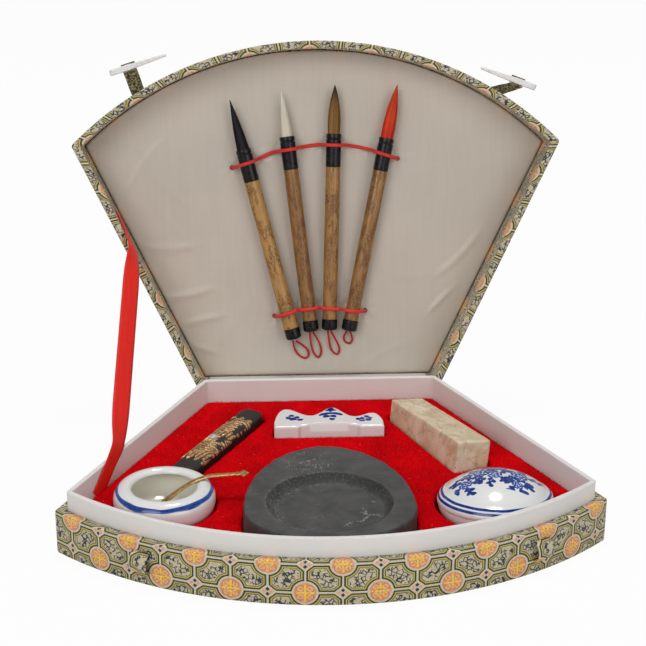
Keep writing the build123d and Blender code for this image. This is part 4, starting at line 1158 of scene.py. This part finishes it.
def chip_stone(spots):
    """Hand-cut unevenness in the slate's faces."""
    rough = np.array([noise.noise(Vector(spot) * 0.16) + 0.5 * noise.noise(Vector(spot) * 0.45)
                      for spot in spots])
    spots = spots.copy()
    away = well_away(spots)
    spots[:, 2] += rough * 0.22 * worked_face(spots)
    swell = 1 + 0.010 * rough * (away > WELL_RADIUS + 1)
    spots[:, 0] = STONE_CENTRE[0] + (spots[:, 0] - STONE_CENTRE[0]) * swell
    spots[:, 1] = STONE_CENTRE[1] + (spots[:, 1] - STONE_CENTRE[1]) * swell
    return spots


def ink_stone():
    stone = push(recast("slate_ink_stone", ["ink_stone"], voxel=0.62, smooth=3), chip_stone)
    seat(mark(stone, wall=well_shade_and_dust, dust=stone_dust, crack=stone_crack), "ink_stone", "slate", "ink_stone")


def stick_place(spots):
    """Places along and across the ink stick, from its middle."""
    return turned_by(math.radians(-STICK_ANGLE), spots[:, 0] - STICK_CENTRE[0], spots[:, 1] - STICK_CENTRE[1])


def gold_relief(spots):
    """Rolled clouds and scales that stand up from the middle of the ink stick, with black gaps."""
    along, across = stick_place(spots)
    middle = within((GOLD_REACH - np.abs(along + 0.5) + 2.0 * np.sin(across * 1.1 + along * 0.3)) / 1.2)
    rolls = np.sin(across * 2.3 + along * 0.9 + 1.9 * np.sin(along * 0.42 + 0.8))
    scales = np.sin(along * 2.6 + 2.0 * np.sin(across * 0.5 + 0.6) - across * 0.35)
    part = within(0.5 + 1.6 * np.sin(along * 0.24 + across * 0.12 + 1.0))
    raised = within((rolls * part + scales * (1 - part)) * 0.9 + 0.72)
    for spot, side, length, width in GOLD_GAPS:
        reach = np.hypot((along - spot) / length, (across - side + 0.8 * np.sin(along * 1.7)) / width)
        raised = raised * within((reach - 0.85) / 0.25)
    return raised * middle * within((spots[:, 2] - STICK_TOP + 3.2) / 1.0)


def ink_stick():
    turn = math.radians(STICK_ANGLE)

    def raise_gold(spots):
        """The relief, on a top that is a little rounder and narrower than the solid's."""
        _, across = stick_place(spots)
        relief, spots = gold_relief(spots), spots.copy()
        above = within((spots[:, 2] - STICK_TOP + 3) / 3)
        spots[:, 2] += 0.7 * relief - 1.6 * above * (np.abs(across) / 8.3) ** 3
        inwards = -0.15 * across
        spots[:, 0] -= inwards * math.sin(turn)
        spots[:, 1] += inwards * math.cos(turn)
        return spots

    stick = recast("gilded_ink_stick", ["ink_stick"], voxel=0.36, smooth=2)
    mark(stick, gold=lambda spots: gold_relief(spots) * 3.0 - 0.5)
    seat(push(stick, raise_gold), "ink_stick", "ink_black", "ink_stick")
    spot = np.add(STICK_CENTRE, turned_by(turn, *PEARL_PLACE))
    dot = [(0, -0.5), (2.4, -0.5), (2.4, 0.5), (2.1, 1.1), (1.4, 1.6), (0.7, 1.8), (0, 1.85)]
    pearl = lathe("ink_stick_pearl", dot, (*spot, STICK_TOP), (0, 0, 1), (1, 0, 0), count=24)
    seat(pearl, "ink_stick", "pearl", slot="ink_black")


def seal_stone():
    seal = recast("soapstone_seal", ["seal_stone"], voxel=0.7, smooth=2)
    seat(seal, "seal_stone", "seal_beige", "seal_stone")


def stroke(x, y, start, end, bend, wide):
    """A brush stroke in plan between two places, thin at both ends and bowed to one side."""
    (ax, ay), (bx, by) = start, end
    run = math.hypot(bx - ax, by - ay)
    along = ((x - ax) * (bx - ax) + (y - ay) * (by - ay)) / run ** 2
    off = ((x - ax) * (by - ay) - (y - ay) * (bx - ax)) / run
    inside = within(along)
    off = off - bend * 4 * inside * (1 - inside)
    body = wide * np.sqrt(within(inside * (1 - inside) * 4)) + 0.05
    past = np.abs(along - inside) * run
    return within(1.3 - (np.hypot(off, past) / body)) * 2


def blossom(x, y, spot, size, turn, petals=5):
    """A painted flower: two rings of petals with pale edges round an open eye."""
    dx, dy = x - spot[0], y - spot[1]
    away, angle = np.hypot(dx, dy) / size, np.arctan2(dy, dx) + turn
    painted = (away < 0.12) * 1.0
    for reach, inner, shift in ((1.0, 0.58, 0.0), (0.6, 0.2, 0.6)):
        lobe = np.abs(np.cos((angle + shift) * petals / 2))
        edge = reach * (0.70 + 0.30 * lobe)
        petal = within((edge - away) / 0.06) * within((away - inner) / 0.05)
        petal = petal * within((lobe - 0.16) / 0.1)
        painted = np.maximum(painted, petal * (0.35 + 0.65 * within((away - inner) / (edge - inner + 0.05))))
    return painted


def sprig(x, y, root, angle, length, leaves, wide):
    """A bent stem with leaves at both sides."""
    turn = math.radians(angle)
    way, side = np.array([math.cos(turn), math.sin(turn)]), np.array([-math.sin(turn), math.cos(turn)])
    tip = np.array(root) + way * length
    painted = stroke(x, y, root, tuple(tip), length * 0.08, 0.28)
    for k in range(leaves):
        share = (k + 0.6) / leaves
        spot = np.array(root) + way * length * share + side * length * 0.3 * share * (1 - share)
        hand = 1 if k % 2 else -1
        end = spot + (way * 0.75 + side * hand * 0.8) * wide * 3.2
        painted = np.maximum(painted, stroke(x, y, tuple(spot), tuple(end), hand * 0.3, wide))
    return painted


def rest_paint(spots):
    """Open brushwork under each peak of the rest: clouds and reeds at the sides, a hill in the middle."""
    painted = np.zeros(len(spots))
    x, y = spots[:, 0], spots[:, 1] - REST_BASE
    for (cx, cy), strokes in REST_SCENES:
        for ax, ay, bx, by, bend, wide in strokes:
            painted = np.maximum(painted, stroke(x, y, (cx + ax, cy + ay), (cx + bx, cy + by), bend, wide))
    return painted * within((spots[:, 2] - REST_TOP + 2.2) / 0.6)


def brush_rest():
    def slope(spots):
        """The front's upper edge leans back between the feet."""
        spots = spots.copy()
        between = within((12.5 - np.abs(spots[:, 0] - 2.7)) / 2.5)
        front = within((REST_BASE + 2.5 - spots[:, 1]) / 2.5)
        spots[:, 1] += front * between * (0.5 + 1.6 * within((spots[:, 2] - REST_TOP + 4.5) / 4.5))
        return spots

    rest = push(recast("brush_rest_glazed", ["brush_rest"], voxel=0.42, smooth=9), slope)
    seat(mark(rest, cobalt=rest_paint), "brush_rest", "porcelain", "brush_rest")


def water_dish():
    belly, foot_top, inner = DISH_TOP - 7.3, 13.2, DISH_RADIUS - 2.8
    profile = [(0, foot_top), (8, foot_top), (13.5, foot_top), (13.8, 12.2), (14.2, 12.0), (16.2, 12.0),
               (16.6, 12.2)]
    profile += arc((17.1, foot_top), (24.1, 17.05), (DISH_RADIUS, belly), 22)
    crest, lip = 19.2, 2.3
    quarter = np.linspace(0, math.pi / 2, 24, endpoint=False)
    profile += [(crest + (DISH_RADIUS - crest) * math.cos(t), belly + (DISH_TOP - belly) * math.sin(t))
                for t in quarter]
    profile += [(crest - (crest - DISH_MOUTH) * math.sin(t), DISH_TOP - lip + lip * math.cos(t))
                for t in quarter]
    profile += arc((DISH_MOUTH, DISH_TOP - lip), (21.0, 27.9), (inner, belly), 16)
    profile += arc((inner, belly), (20.6, 21.15), (12.5, 16.0), 18)
    profile += [(12.5, 16.0), (8.0, 15.8), (4.0, 15.75), (0, 15.75)]

    def ring(spots):
        x, y = spots[:, 0] - DISH_CENTRE[0], spots[:, 1] - DISH_CENTRE[1]
        away, turn = np.hypot(x, y), np.arctan2(y, x)
        drift = 0.25 * np.sin(3 * turn + 1) + 0.15 * np.sin(11 * turn)
        wide = within((0.85 + 0.15 * np.sin(5 * turn) - np.abs(away - 24.2 - 0.5 * drift)) / 0.35)
        streak = 0.75 + 0.25 * np.sin(away * 9 + 4 * np.sin(turn * 3))
        return wide * streak * (0.7 + 0.3 * np.clip(-y / 20, -0.5, 1)) * (spots[:, 2] > belly + 0.5)

    dish = lathe("water_dish_painted", profile, (*DISH_CENTRE, 0), (0, 0, 1), (0, 1, 0), count=180)

    def foot(spots):
        return (12.35 - spots[:, 2]) / 0.2

    # Inside of the dish below the lip: where the painted shade darkens and warms the glaze.
    def dish_hollow_shade(spots):
        away = np.hypot(spots[:, 0] - DISH_CENTRE[0], spots[:, 1] - DISH_CENTRE[1])
        return (spots[:, 2] > 15.7) * (away < inner + 0.05) * within((29.6 - spots[:, 2]) / 1.5)

    seat(mark(dish, cobalt=ring, cream=dish_hollow_shade, bare=foot), "water_dish", "porcelain", "water_dish")


def water_spoon():
    """A bent strip of brass over the dish's rim, with a spear-shaped finial."""
    lift = DISH_TOP + SPOON_LIFT
    (bx, by), inner, outer = SPOON_BEND, math.radians(SPOON_IN), math.radians(SPOON_OUT)
    down = [(25.6, -10.6), (23.6, -8.1), (15.0, -3.6), (8.5, -0.9), (4.5, 0.0)]
    away = [(2.5, 0.9), (13.5, 1.1), (19.0, 1.4), (21.6, 1.5)]
    route = [(bx + r * math.cos(inner), by + r * math.sin(inner), lift + z) for r, z in down]
    route += [(bx, by, lift + 0.2)]
    route += [(bx + r * math.cos(outer), by + r * math.sin(outer), lift + z) for r, z in away]
    path = spline_points(route, 10)
    run = way_along(path)
    left = run[-1] - run
    width = np.interp(run, [0, 1.5, 4, 7, 12], [1.8, 4.8, 5.2, 4.0, 3.3])
    finial = np.interp(left, [0, 0.8, 2.2, 3.4, 4.4, 5.4, 6.6, 9], [0.6, 3.0, 7.2, 5.6, 2.2, 4.4, 2.6, 3.2])
    width = np.where(left < 9, finial, width)
    sides = unit(np.cross(np.gradient(path, axis=0), (0, 0, 1.0)))
    seat(band("water_spoon_strip", path, sides, width, 0.8, across=5), "water_spoon", "brass", "water_spoon")


def leaned(points):
    """Points drawn round the paste box's axis, from its parting plane, put in the leaning pocket."""
    y, z = turned_by(math.radians(PASTE_TILT), points[..., 1], points[..., 2])
    return np.stack([points[..., 0], y, z], -1) + PASTE_CENTRE


def straightened(spots):
    """The way back from the leaning pocket to the paste box's own axis."""
    spots = spots - PASTE_CENTRE
    return spots[:, 0], *turned_by(math.radians(-PASTE_TILT), spots[:, 1], spots[:, 2])


def cover_paint(spots):
    """Flowers with sprigs of leaves on the dome and two stripes round the shoulder."""
    x, y, z = straightened(spots)
    painted = np.zeros(len(spots))
    for fx, fy, size, turn in COVER_FLOWERS:
        for k in range(5):
            angle = math.degrees(turn) + 72 * k + 30
            way = math.radians(angle)
            root = (fx + 0.6 * size * math.cos(way), fy + 0.6 * size * math.sin(way))
            painted = np.maximum(painted, sprig(x, y, root, angle, 1.5 * size, 4, 0.85))
    for fx, fy, size, turn in COVER_FLOWERS:
        away = np.hypot(x - fx, y - fy)
        painted = np.where(away < 0.85 * size, blossom(x, y, (fx, fy), size, turn), painted)
    away, turn = np.hypot(x, y), np.arctan2(y, x)
    painted *= (away < 24.0) & (y > -15.5 - 0.12 * np.abs(x))
    drift = 0.05 * np.sin(5 * turn) + 0.04 * np.sin(13 * turn)
    upper = within((0.5 - np.abs(z - 5.2 - drift)) / 0.2)
    lower = within((0.65 - np.abs(z - 3.3 - drift)) / 0.25)
    outside = (away > 25.4) & (z > 1.0)
    return np.maximum(painted, np.maximum(upper, lower * 0.9) * outside)


def paste_box():
    profile = [(27.5, 0.0), (28.5, 0.0), (29.8, 0.0), (PASTE_RADIUS, 0.2), (PASTE_RADIUS, 0.8)]
    profile += arc((PASTE_RADIUS, 1.5), (29.05, 3.7), (25.7, 6.4), 24)
    top = [(r, math.sqrt(COVER_DOME ** 2 - r * r) + DOME_CENTRE) for r in np.linspace(25.7, 0, 74)]
    under = [(r, math.sqrt(COVER_INSIDE ** 2 - r * r) + DOME_CENTRE) for r in np.linspace(0, 24.0, 18)]
    profile += top + under + [(27.5, 2.6), (27.5, 0.0)]
    cover = lathe("paste_cover_painted", profile, (0, 0, 0), (0, 0, 1), (0, 1, 0), leaned, count=300)
    mark(cover, cobalt=cover_paint, bare=lambda spots: (0.9 - straightened(spots)[2]) / 0.3)
    seat(cover, "paste_cover", "porcelain", "paste_cover")
    bowl = arc((29.6, -0.3), (27.4, -6.9), (20.5, -11.5), 20)
    bowl += [(20.5, -12.3), (20.3, -12.5), (18.7, -12.5), (18.2, -11.5), (0, -11.5), (0, -8.5), (8, -8.5)]
    bowl += arc((16.5, -8.5), (23.1, -5.9), (25.3, -1.9), 12)
    bowl += [(25.3, 1.4), (25.5, 1.6), (26.8, 1.6), (27.0, 1.4), (27.0, -0.3), (29.6, -0.3)]
    bowl = lathe("paste_bowl_glazed", bowl, (0, 0, 0), (0, 0, 1), (0, 1, 0), leaned, count=140)
    mark(bowl, bare=lambda spots: (straightened(spots)[2] + 1.1) / 0.4)
    seat(bowl, "paste_bowl", "porcelain", "paste_bowl")
    dress("cinnabar", "seal_paste")


# ---- Brushes, elastics and loops ----

def brush_frame(name):
    (x, reach), lean, _, _ = BRUSHES[name]
    turn = math.radians(lean)
    return (x, HINGE_Y - reach, BASE_HEIGHT + BRUSH_DEPTH), (math.sin(turn), -math.cos(turn), 0.0)


def tuft_tree():
    """Hair: strands that leave the ferrule, swell round the belly and close to a point."""
    tree, given, leave = new_tree("hair_tuft", "Geometry", {
        "Seat": "Geometry", "Strands": "Int", "Length": "Float", "Root": "Float", "Fullness": "Float",
        "Finish": "Material"}, {"Hair": "Geometry"})

    def kept(geometry, key, value):
        values = {"Geometry": geometry, "Name": key, "Value": value}
        return node(tree, "GeometryNodeStoreNamedAttribute", values, data_type="FLOAT", domain="POINT")

    def drawn(low, high, seed):
        values = {2: low, 3: high, "Seed": seed}
        return node(tree, "FunctionNodeRandomValue", values, output=1, data_type="FLOAT")

    def read(key):
        return node(tree, "GeometryNodeInputNamedAttribute", {"Name": key}, output="Attribute",
                    data_type="FLOAT")

    roots = node(tree, "GeometryNodePoints", {"Count": given["Strands"]})
    for key, low, high, seed in (
            ("turn", 0.0, math.tau, 1), ("inside", 0.86, 1.02, 2), ("reach", 0.82, 1.0, 3),
            ("strand", 0.0, 1.0, 4), ("stray", -1.0, 1.0, 5)):
        roots = kept(roots, key, drawn(low, high, seed))
    strip = node(tree, "GeometryNodeMeshGrid",
                 {"Size X": 1.0, "Size Y": 1.0, "Vertices X": 2, "Vertices Y": 11})
    strands = node(tree, "GeometryNodeInstanceOnPoints", {"Points": roots, "Instance": strip})
    strands = node(tree, "GeometryNodeRealizeInstances", {"Geometry": strands})
    across, up, _ = node(tree, "GeometryNodeInputPosition").parts()
    share = (up + 0.5) * read("reach")
    radius = (share * -1.0 + 1.0) * (share * given["Fullness"] + given["Root"]) * read("inside")
    radius = radius + read("stray") * 0.12 * share
    across = across * 0.17 * (share * -0.75 + 1.0)
    turn = read("turn") + read("stray") * 0.12 * share
    cos, sin = turn.step("COSINE"), turn.sine()
    x = (cos * radius - sin * across) * MM
    y = (sin * radius + cos * across) * MM
    strands = kept(strands, "along", share)
    strands = node(tree, "GeometryNodeSetPosition",
                   {"Geometry": strands, "Position": join(tree, x, y, share * given["Length"])})
    dyed = node(tree, "GeometryNodeSetMaterial", {"Geometry": strands, "Material": given["Finish"]})
    put(dyed, leave.inputs[0])
    return tree


def brush(name, tufts):
    origin, axis = brush_frame(name)
    _, _, hair, radius = BRUSHES[name]
    root, full = TUFTS[name]
    body = "brush_" + name
    side = np.cross(axis, (0, 0, 1.0))

    def turned(part, profile, look, slot=None, **more):
        made = lathe(f"{body}_{part}_turned", profile, origin, axis, (0, 0, 1), swung, **more)
        return seat(made, body, look, f"{body}_{part}", slot=slot)

    def grown(radii, heights, turns):
        swell = 1 + 0.012 * np.sin(heights * 0.07 + radius * 30) + 0.006 * np.sin(2 * turns + heights * 0.11)
        knot = 0.035 * np.exp(-((heights - BAMBOO_KNOTS[name]) / 0.7) ** 2)
        return radii * (swell - 0.01 + knot)

    low, high = CAP_LENGTH, CAP_LENGTH + HANDLE
    mouth = high + FERRULE
    cap = [(0, 0, 0), (CAP_RADIUS, 0, 1.6), (CAP_RADIUS, low, 0.5), (0, low, 0)]
    turned("cap", soften(cap, gap=1.0), "horn")
    handle = [(0, low + 0.1, 0), (radius, low + 0.1, 0.4), (radius, high - 0.1, 0.3), (0, high - 0.1, 0)]
    turned("handle", soften(handle, gap=1.2), "bamboo_" + name, "bamboo", shaped=grown)
    ring = mouth - GROOVE_BACK
    ferrule = [(0, high, 0), (radius + 0.1, high, 0.2), (FERRULE_RADIUS, ring - 0.8, 0.1),
               (GROOVE_RADIUS, ring - 0.4, 0.15), (GROOVE_RADIUS, ring, 0.15), (FERRULE_RADIUS, ring + 0.4, 0.1),
               (4.4, mouth, 0.25), (3.7, mouth, 0.1), (FERRULE_BORE, mouth - 0.6, 0), (0, mouth - 0.6, 0)]
    turned("ferrule", soften(ferrule, gap=1.0), "horn")
    core = [(0, mouth - 0.5), (3.4, mouth - 0.5)]
    core += [(HAIR_CORE * (1 - s) * (root + full * s), mouth + s * hair)
             for s in np.linspace(0, HAIR_END, 30)]
    core = turned("hair", core + [(0, mouth + HAIR_END * hair)], "hair_" + name, count=32)
    foot = swung(np.array(origin) + np.array(axis) * mouth)
    way = swung(np.array(origin) + np.array(axis) * (mouth + 1)) - foot
    mark(core, along=lambda spots: (spots - foot) @ way / hair, strand=lambda spots: spots[:, 0] * 0 + 0.2)
    seed = add_object("tuft_seat", bpy.data.meshes.new("tuft_seat"))
    strands = apply_tree(seed, body + "_strands", tufts,
                         {"Strands": HAIR_COUNT, "Length": hair * MM, "Root": root, "Fullness": full,
                          "Finish": LOOKS["hair_" + name]})
    push(strands, lambda spots: swung(np.array(origin) + spots[:, :1] * (0, 0, 1.0) + spots[:, 1:2] * side
                                      + (spots[:, 2:] + mouth) * axis))
    seat(strands, body, None, slot="hair_" + name)


def over_brush(left, right, name):
    """Two corners of an elastic that arches over one brush between two pins."""
    (x, reach), lean, _, _ = BRUSHES[name]
    slope = (right[1] - left[1]) / (right[0] - left[0])
    drift = math.tan(math.radians(lean))
    middle = (x + drift * (left[1] - slope * left[0] - reach)) / (1 - drift * slope)
    height = left[1] + slope * (middle - left[0])
    step = ARCH_HALF / math.hypot(1, slope)
    return [(middle + s * step, height + s * step * slope, OVER_BRUSHES) for s in (-1, 1)]


def elastic(name, route, node_name):
    points = spline_points([on_lid(*spot) for spot in route])
    seat(round_cord(name, points, ELASTIC_RADIUS, 2.4), "lid", "red_cord", node_name)


def elastics():
    upper = []
    for left, right, name in zip(UPPER_PINS[0::2], UPPER_PINS[1::2], BRUSHES):
        upper += [(*left, ON_LINING), *over_brush(left, right, name), (*right, ON_LINING)]
    elastic("upper_elastic", upper, "cord_upper")
    dips = [OVER_BRUSHES + 4.6] * 3 + [ON_LINING]
    lower = [(*LOWER_PINS[0], ON_LINING)]
    for left, right, dip, name in zip(LOWER_PINS, LOWER_PINS[1:], dips, BRUSHES):
        lower += [*over_brush(left, right, name), (*right, dip)]
    elastic("lower_elastic", lower, "cord_lower")
    # A near-black knot at each outer end of the elastics: painted shade of the hole the cord goes into.
    for number, (x, reach) in enumerate((UPPER_PINS[0], UPPER_PINS[-1], LOWER_PINS[0], LOWER_PINS[-1])):
        knot = lathe(f"elastic_knot_{number}", KNOT, (x, HINGE_Y - reach, BASE_HEIGHT + LINING_DEPTH),
                     (0, 0, -1.0), (1.0, 0, 0), swung, count=12)
        seat(knot, "lid", "shaded_hole_cord", slot="red_cord")


def hanging_loop(name):
    points = spline_points([on_lid(*spot) for spot in LOOP_ROUTES[name]])
    loop = round_cord(f"brush_{name}_hanger", points, LOOP_RADIUS, 1.6)
    seat(loop, "brush_" + name, "dark_cord", f"brush_{name}_loop", slot="red_cord")


# ---- Straps, pegs, base loops and ribbon ----

def front_spot(turn, height):
    """A point of the case's curved front, by its angle from the middle."""
    return np.array([ARC_RADIUS * math.sin(turn), ARC_Y - ARC_RADIUS * math.cos(turn), height])


def strap_and_peg(side):
    angle, along, out, lean = STRAPS[side]
    turn, tip = math.radians(angle), math.radians(lean)
    inwards = -1 if angle > 0 else 1
    root = front_spot(turn, BASE_HEIGHT + STRAP_HEIGHT)
    x = inwards * np.array([math.cos(turn), math.sin(turn), 0])
    z = np.array([0, 0, -inwards])
    y = np.cross(z, x)
    peg_x, peg_y = turned_by(tip, x, y)
    slot = root + along * x + out * y

    share = np.linspace(0, 1, 15)[:, None]
    end = slot - peg_y * (PEG_THICK / 2 + 0.8)
    path = root + y * 0.4 + (end - root - y * 0.4) * share + z * 0.9 * np.sin(share * math.tau)
    origin = swung((0, 0, 0))
    sides = unit(swung(x * (1 - share) + peg_x * share) - origin)
    cloth = band("strap_cloth_" + side, swung(path), sides, STRAP_WIDTH, STRAP_CLOTH)
    seat(cloth, "strap_" + side, "strap", "strap_" + side, slot="brocade_strap")
    share = np.linspace(-1, 1, 9)[:, None]
    path = slot + peg_y * (PEG_THICK / 2 + 0.2) * share + peg_y * 0.25
    sides = np.tile(swung(peg_x) - origin, (len(path), 1))
    end = band("strap_end_" + side, swung(path), sides, STRAP_WIDTH, STRAP_CLOTH)
    seat(end, "peg_" + side, "strap", "peg_loop_" + side, slot="brocade_strap")
    peg = recast("toggle_peg_" + side, ["peg_" + side], voxel=0.27, smooth=9)
    seat(peg, "peg_" + side, "peg_white", "peg_" + side)


def base_loop(side):
    turn = math.radians(LOOP_ANGLES[side])
    out = np.array([math.sin(turn), -math.cos(turn), 0])
    way = np.array([math.cos(turn), math.sin(turn), 0])
    start = front_spot(turn, 0)
    half = BAND_THICK / 2
    low, high = BAND_LOW + 1.4 + half, BAND_HIGH - 1.6 - half
    bend = arc((0.15, low), (BAND_BULGE - half, (low + high) / 2), (0.15, high), 24)
    path = [start + out * r + np.array([0, 0, z]) for r, z in bend + [(0.15, high)]]
    loop = band("base_loop_cloth_" + side, path, np.tile(way, (len(path), 1)), BAND_WIDTH, BAND_THICK)
    seat(loop, "base", "brocade", "base_loop_" + side, slot="brocade_strap")


def stay_ribbon():
    """A satin ribbon from the tray to the lid's side wall, taut and turned a little on its way."""
    swing = math.radians(OPEN_ANGLE)
    base_normal = np.array([ACROSS, -ALONG, 0])
    lid_normal = np.array([ACROSS, -ALONG * math.cos(swing), ALONG * math.sin(swing)])
    fold = np.cross(lid_normal, base_normal)
    fold /= np.linalg.norm(fold)
    stops = [np.array(stop) for stop in RIBBON_STOPS]
    path = []
    for start, end in zip(stops, stops[1:]):
        path += steps(start, end, 2.0)
    path = np.array(path + [stops[-1]])
    for _ in range(2):
        path[1:-1] = (path[:-2] + 2 * path[1:-1] + path[2:]) / 4
    twist = np.interp(way_along(path), *RIBBON_TURNS)
    twist = np.radians(np.convolve(np.pad(twist, 5, "edge"), np.ones(11) / 11, "valid"))[:, None]
    along = unit(np.gradient(path, axis=0))
    sides = fold * np.cos(twist) - np.cross(along, fold) * np.sin(twist)
    sides = unit(sides - along * np.sum(sides * along, axis=1)[:, None])
    ribbon = band("satin_stay_ribbon", path, sides, RIBBON_WIDTH, RIBBON_THICK)
    seat(ribbon, None, "red_ribbon", "stay_ribbon")
    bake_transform(ribbon)


cloth_case()
hinge_strip()
silk_lining()
flocked_tray()
ink_stone()
ink_stick()
seal_stone()
brush_rest()
water_dish()
water_spoon()
paste_box()
tuft_nodes = tuft_tree()
for brush_name in BRUSHES:
    brush(brush_name, tuft_nodes)
    hanging_loop(brush_name)
elastics()
for side_name in STRAPS:
    strap_and_peg(side_name)
    base_loop(side_name)
stay_ribbon()


# ---- Stage, light and camera ----

def plain_stage():
    data = bpy.data.meshes.new("floor")
    far = FLOOR_REACH
    data.from_pydata([(-far, -far, 0), (far, -far, 0), (far, far, 0), (-far, far, 0)], [], [(0, 1, 2, 3)])
    floor = add_object("floor", data)
    paint = bpy.data.materials.new("pale_floor")
    paint.use_nodes = True
    tree = paint.node_tree
    matte = tree.nodes["Principled BSDF"]
    matte.inputs["Base Color"].default_value = (0.80, 0.80, 0.80, 1)
    matte.inputs["Roughness"].default_value = 0.9
    glow = tree.nodes.new("ShaderNodeEmission")
    blend = tree.nodes.new("ShaderNodeMixShader")
    path = tree.nodes.new("ShaderNodeLightPath")
    put(Wire(tree, path.outputs["Is Camera Ray"]) * FLOOR_WHITE, blend.inputs[0])
    tree.links.new(matte.outputs[0], blend.inputs[1])
    tree.links.new(glow.outputs[0], blend.inputs[2])
    tree.links.new(blend.outputs[0], tree.nodes["Material Output"].inputs[0])
    data.materials.append(paint)

    world = bpy.data.worlds.new("studio")
    bpy.context.scene.world = world
    world.use_nodes = True
    tree = world.node_tree
    background = tree.nodes["Background"]
    path = tree.nodes.new("ShaderNodeLightPath")
    seen = Wire(tree, path.outputs["Is Camera Ray"])
    put(seen * (1.0 - AMBIENT) + AMBIENT, background.inputs["Strength"])
    background.inputs["Color"].default_value = (1, 1, 1, 1)


def lamp(name, spot, target, size, power):
    data = bpy.data.lights.new(name, "AREA")
    data.shape, data.size, data.energy = "DISK", size, power
    made = add_object(name, data)
    made.location = spot
    made.rotation_euler = (Vector(target) - Vector(spot)).to_track_quat("-Z", "Y").to_euler()


def camera():
    data = bpy.data.cameras.new("camera")
    data.sensor_width, data.lens = 36.0, CAMERA_LENS
    data.clip_start, data.clip_end = 0.05, 20.0
    made = add_object("camera", data)
    made.location = CAMERA_SPOT
    yaw, pitch, roll = (math.radians(angle) for angle in CAMERA_TURN)
    made.rotation_euler = (Matrix.Rotation(yaw, 3, "Z") @ Matrix.Rotation(pitch, 3, "X")
                           @ Matrix.Rotation(roll, 3, "Z")).to_euler()
    bpy.context.scene.camera = made


camera()
plain_stage()
for lamp_name, lamp_values in LAMPS.items():
    lamp(lamp_name, *lamp_values)
bpy.context.scene.view_settings.view_transform = "Standard"
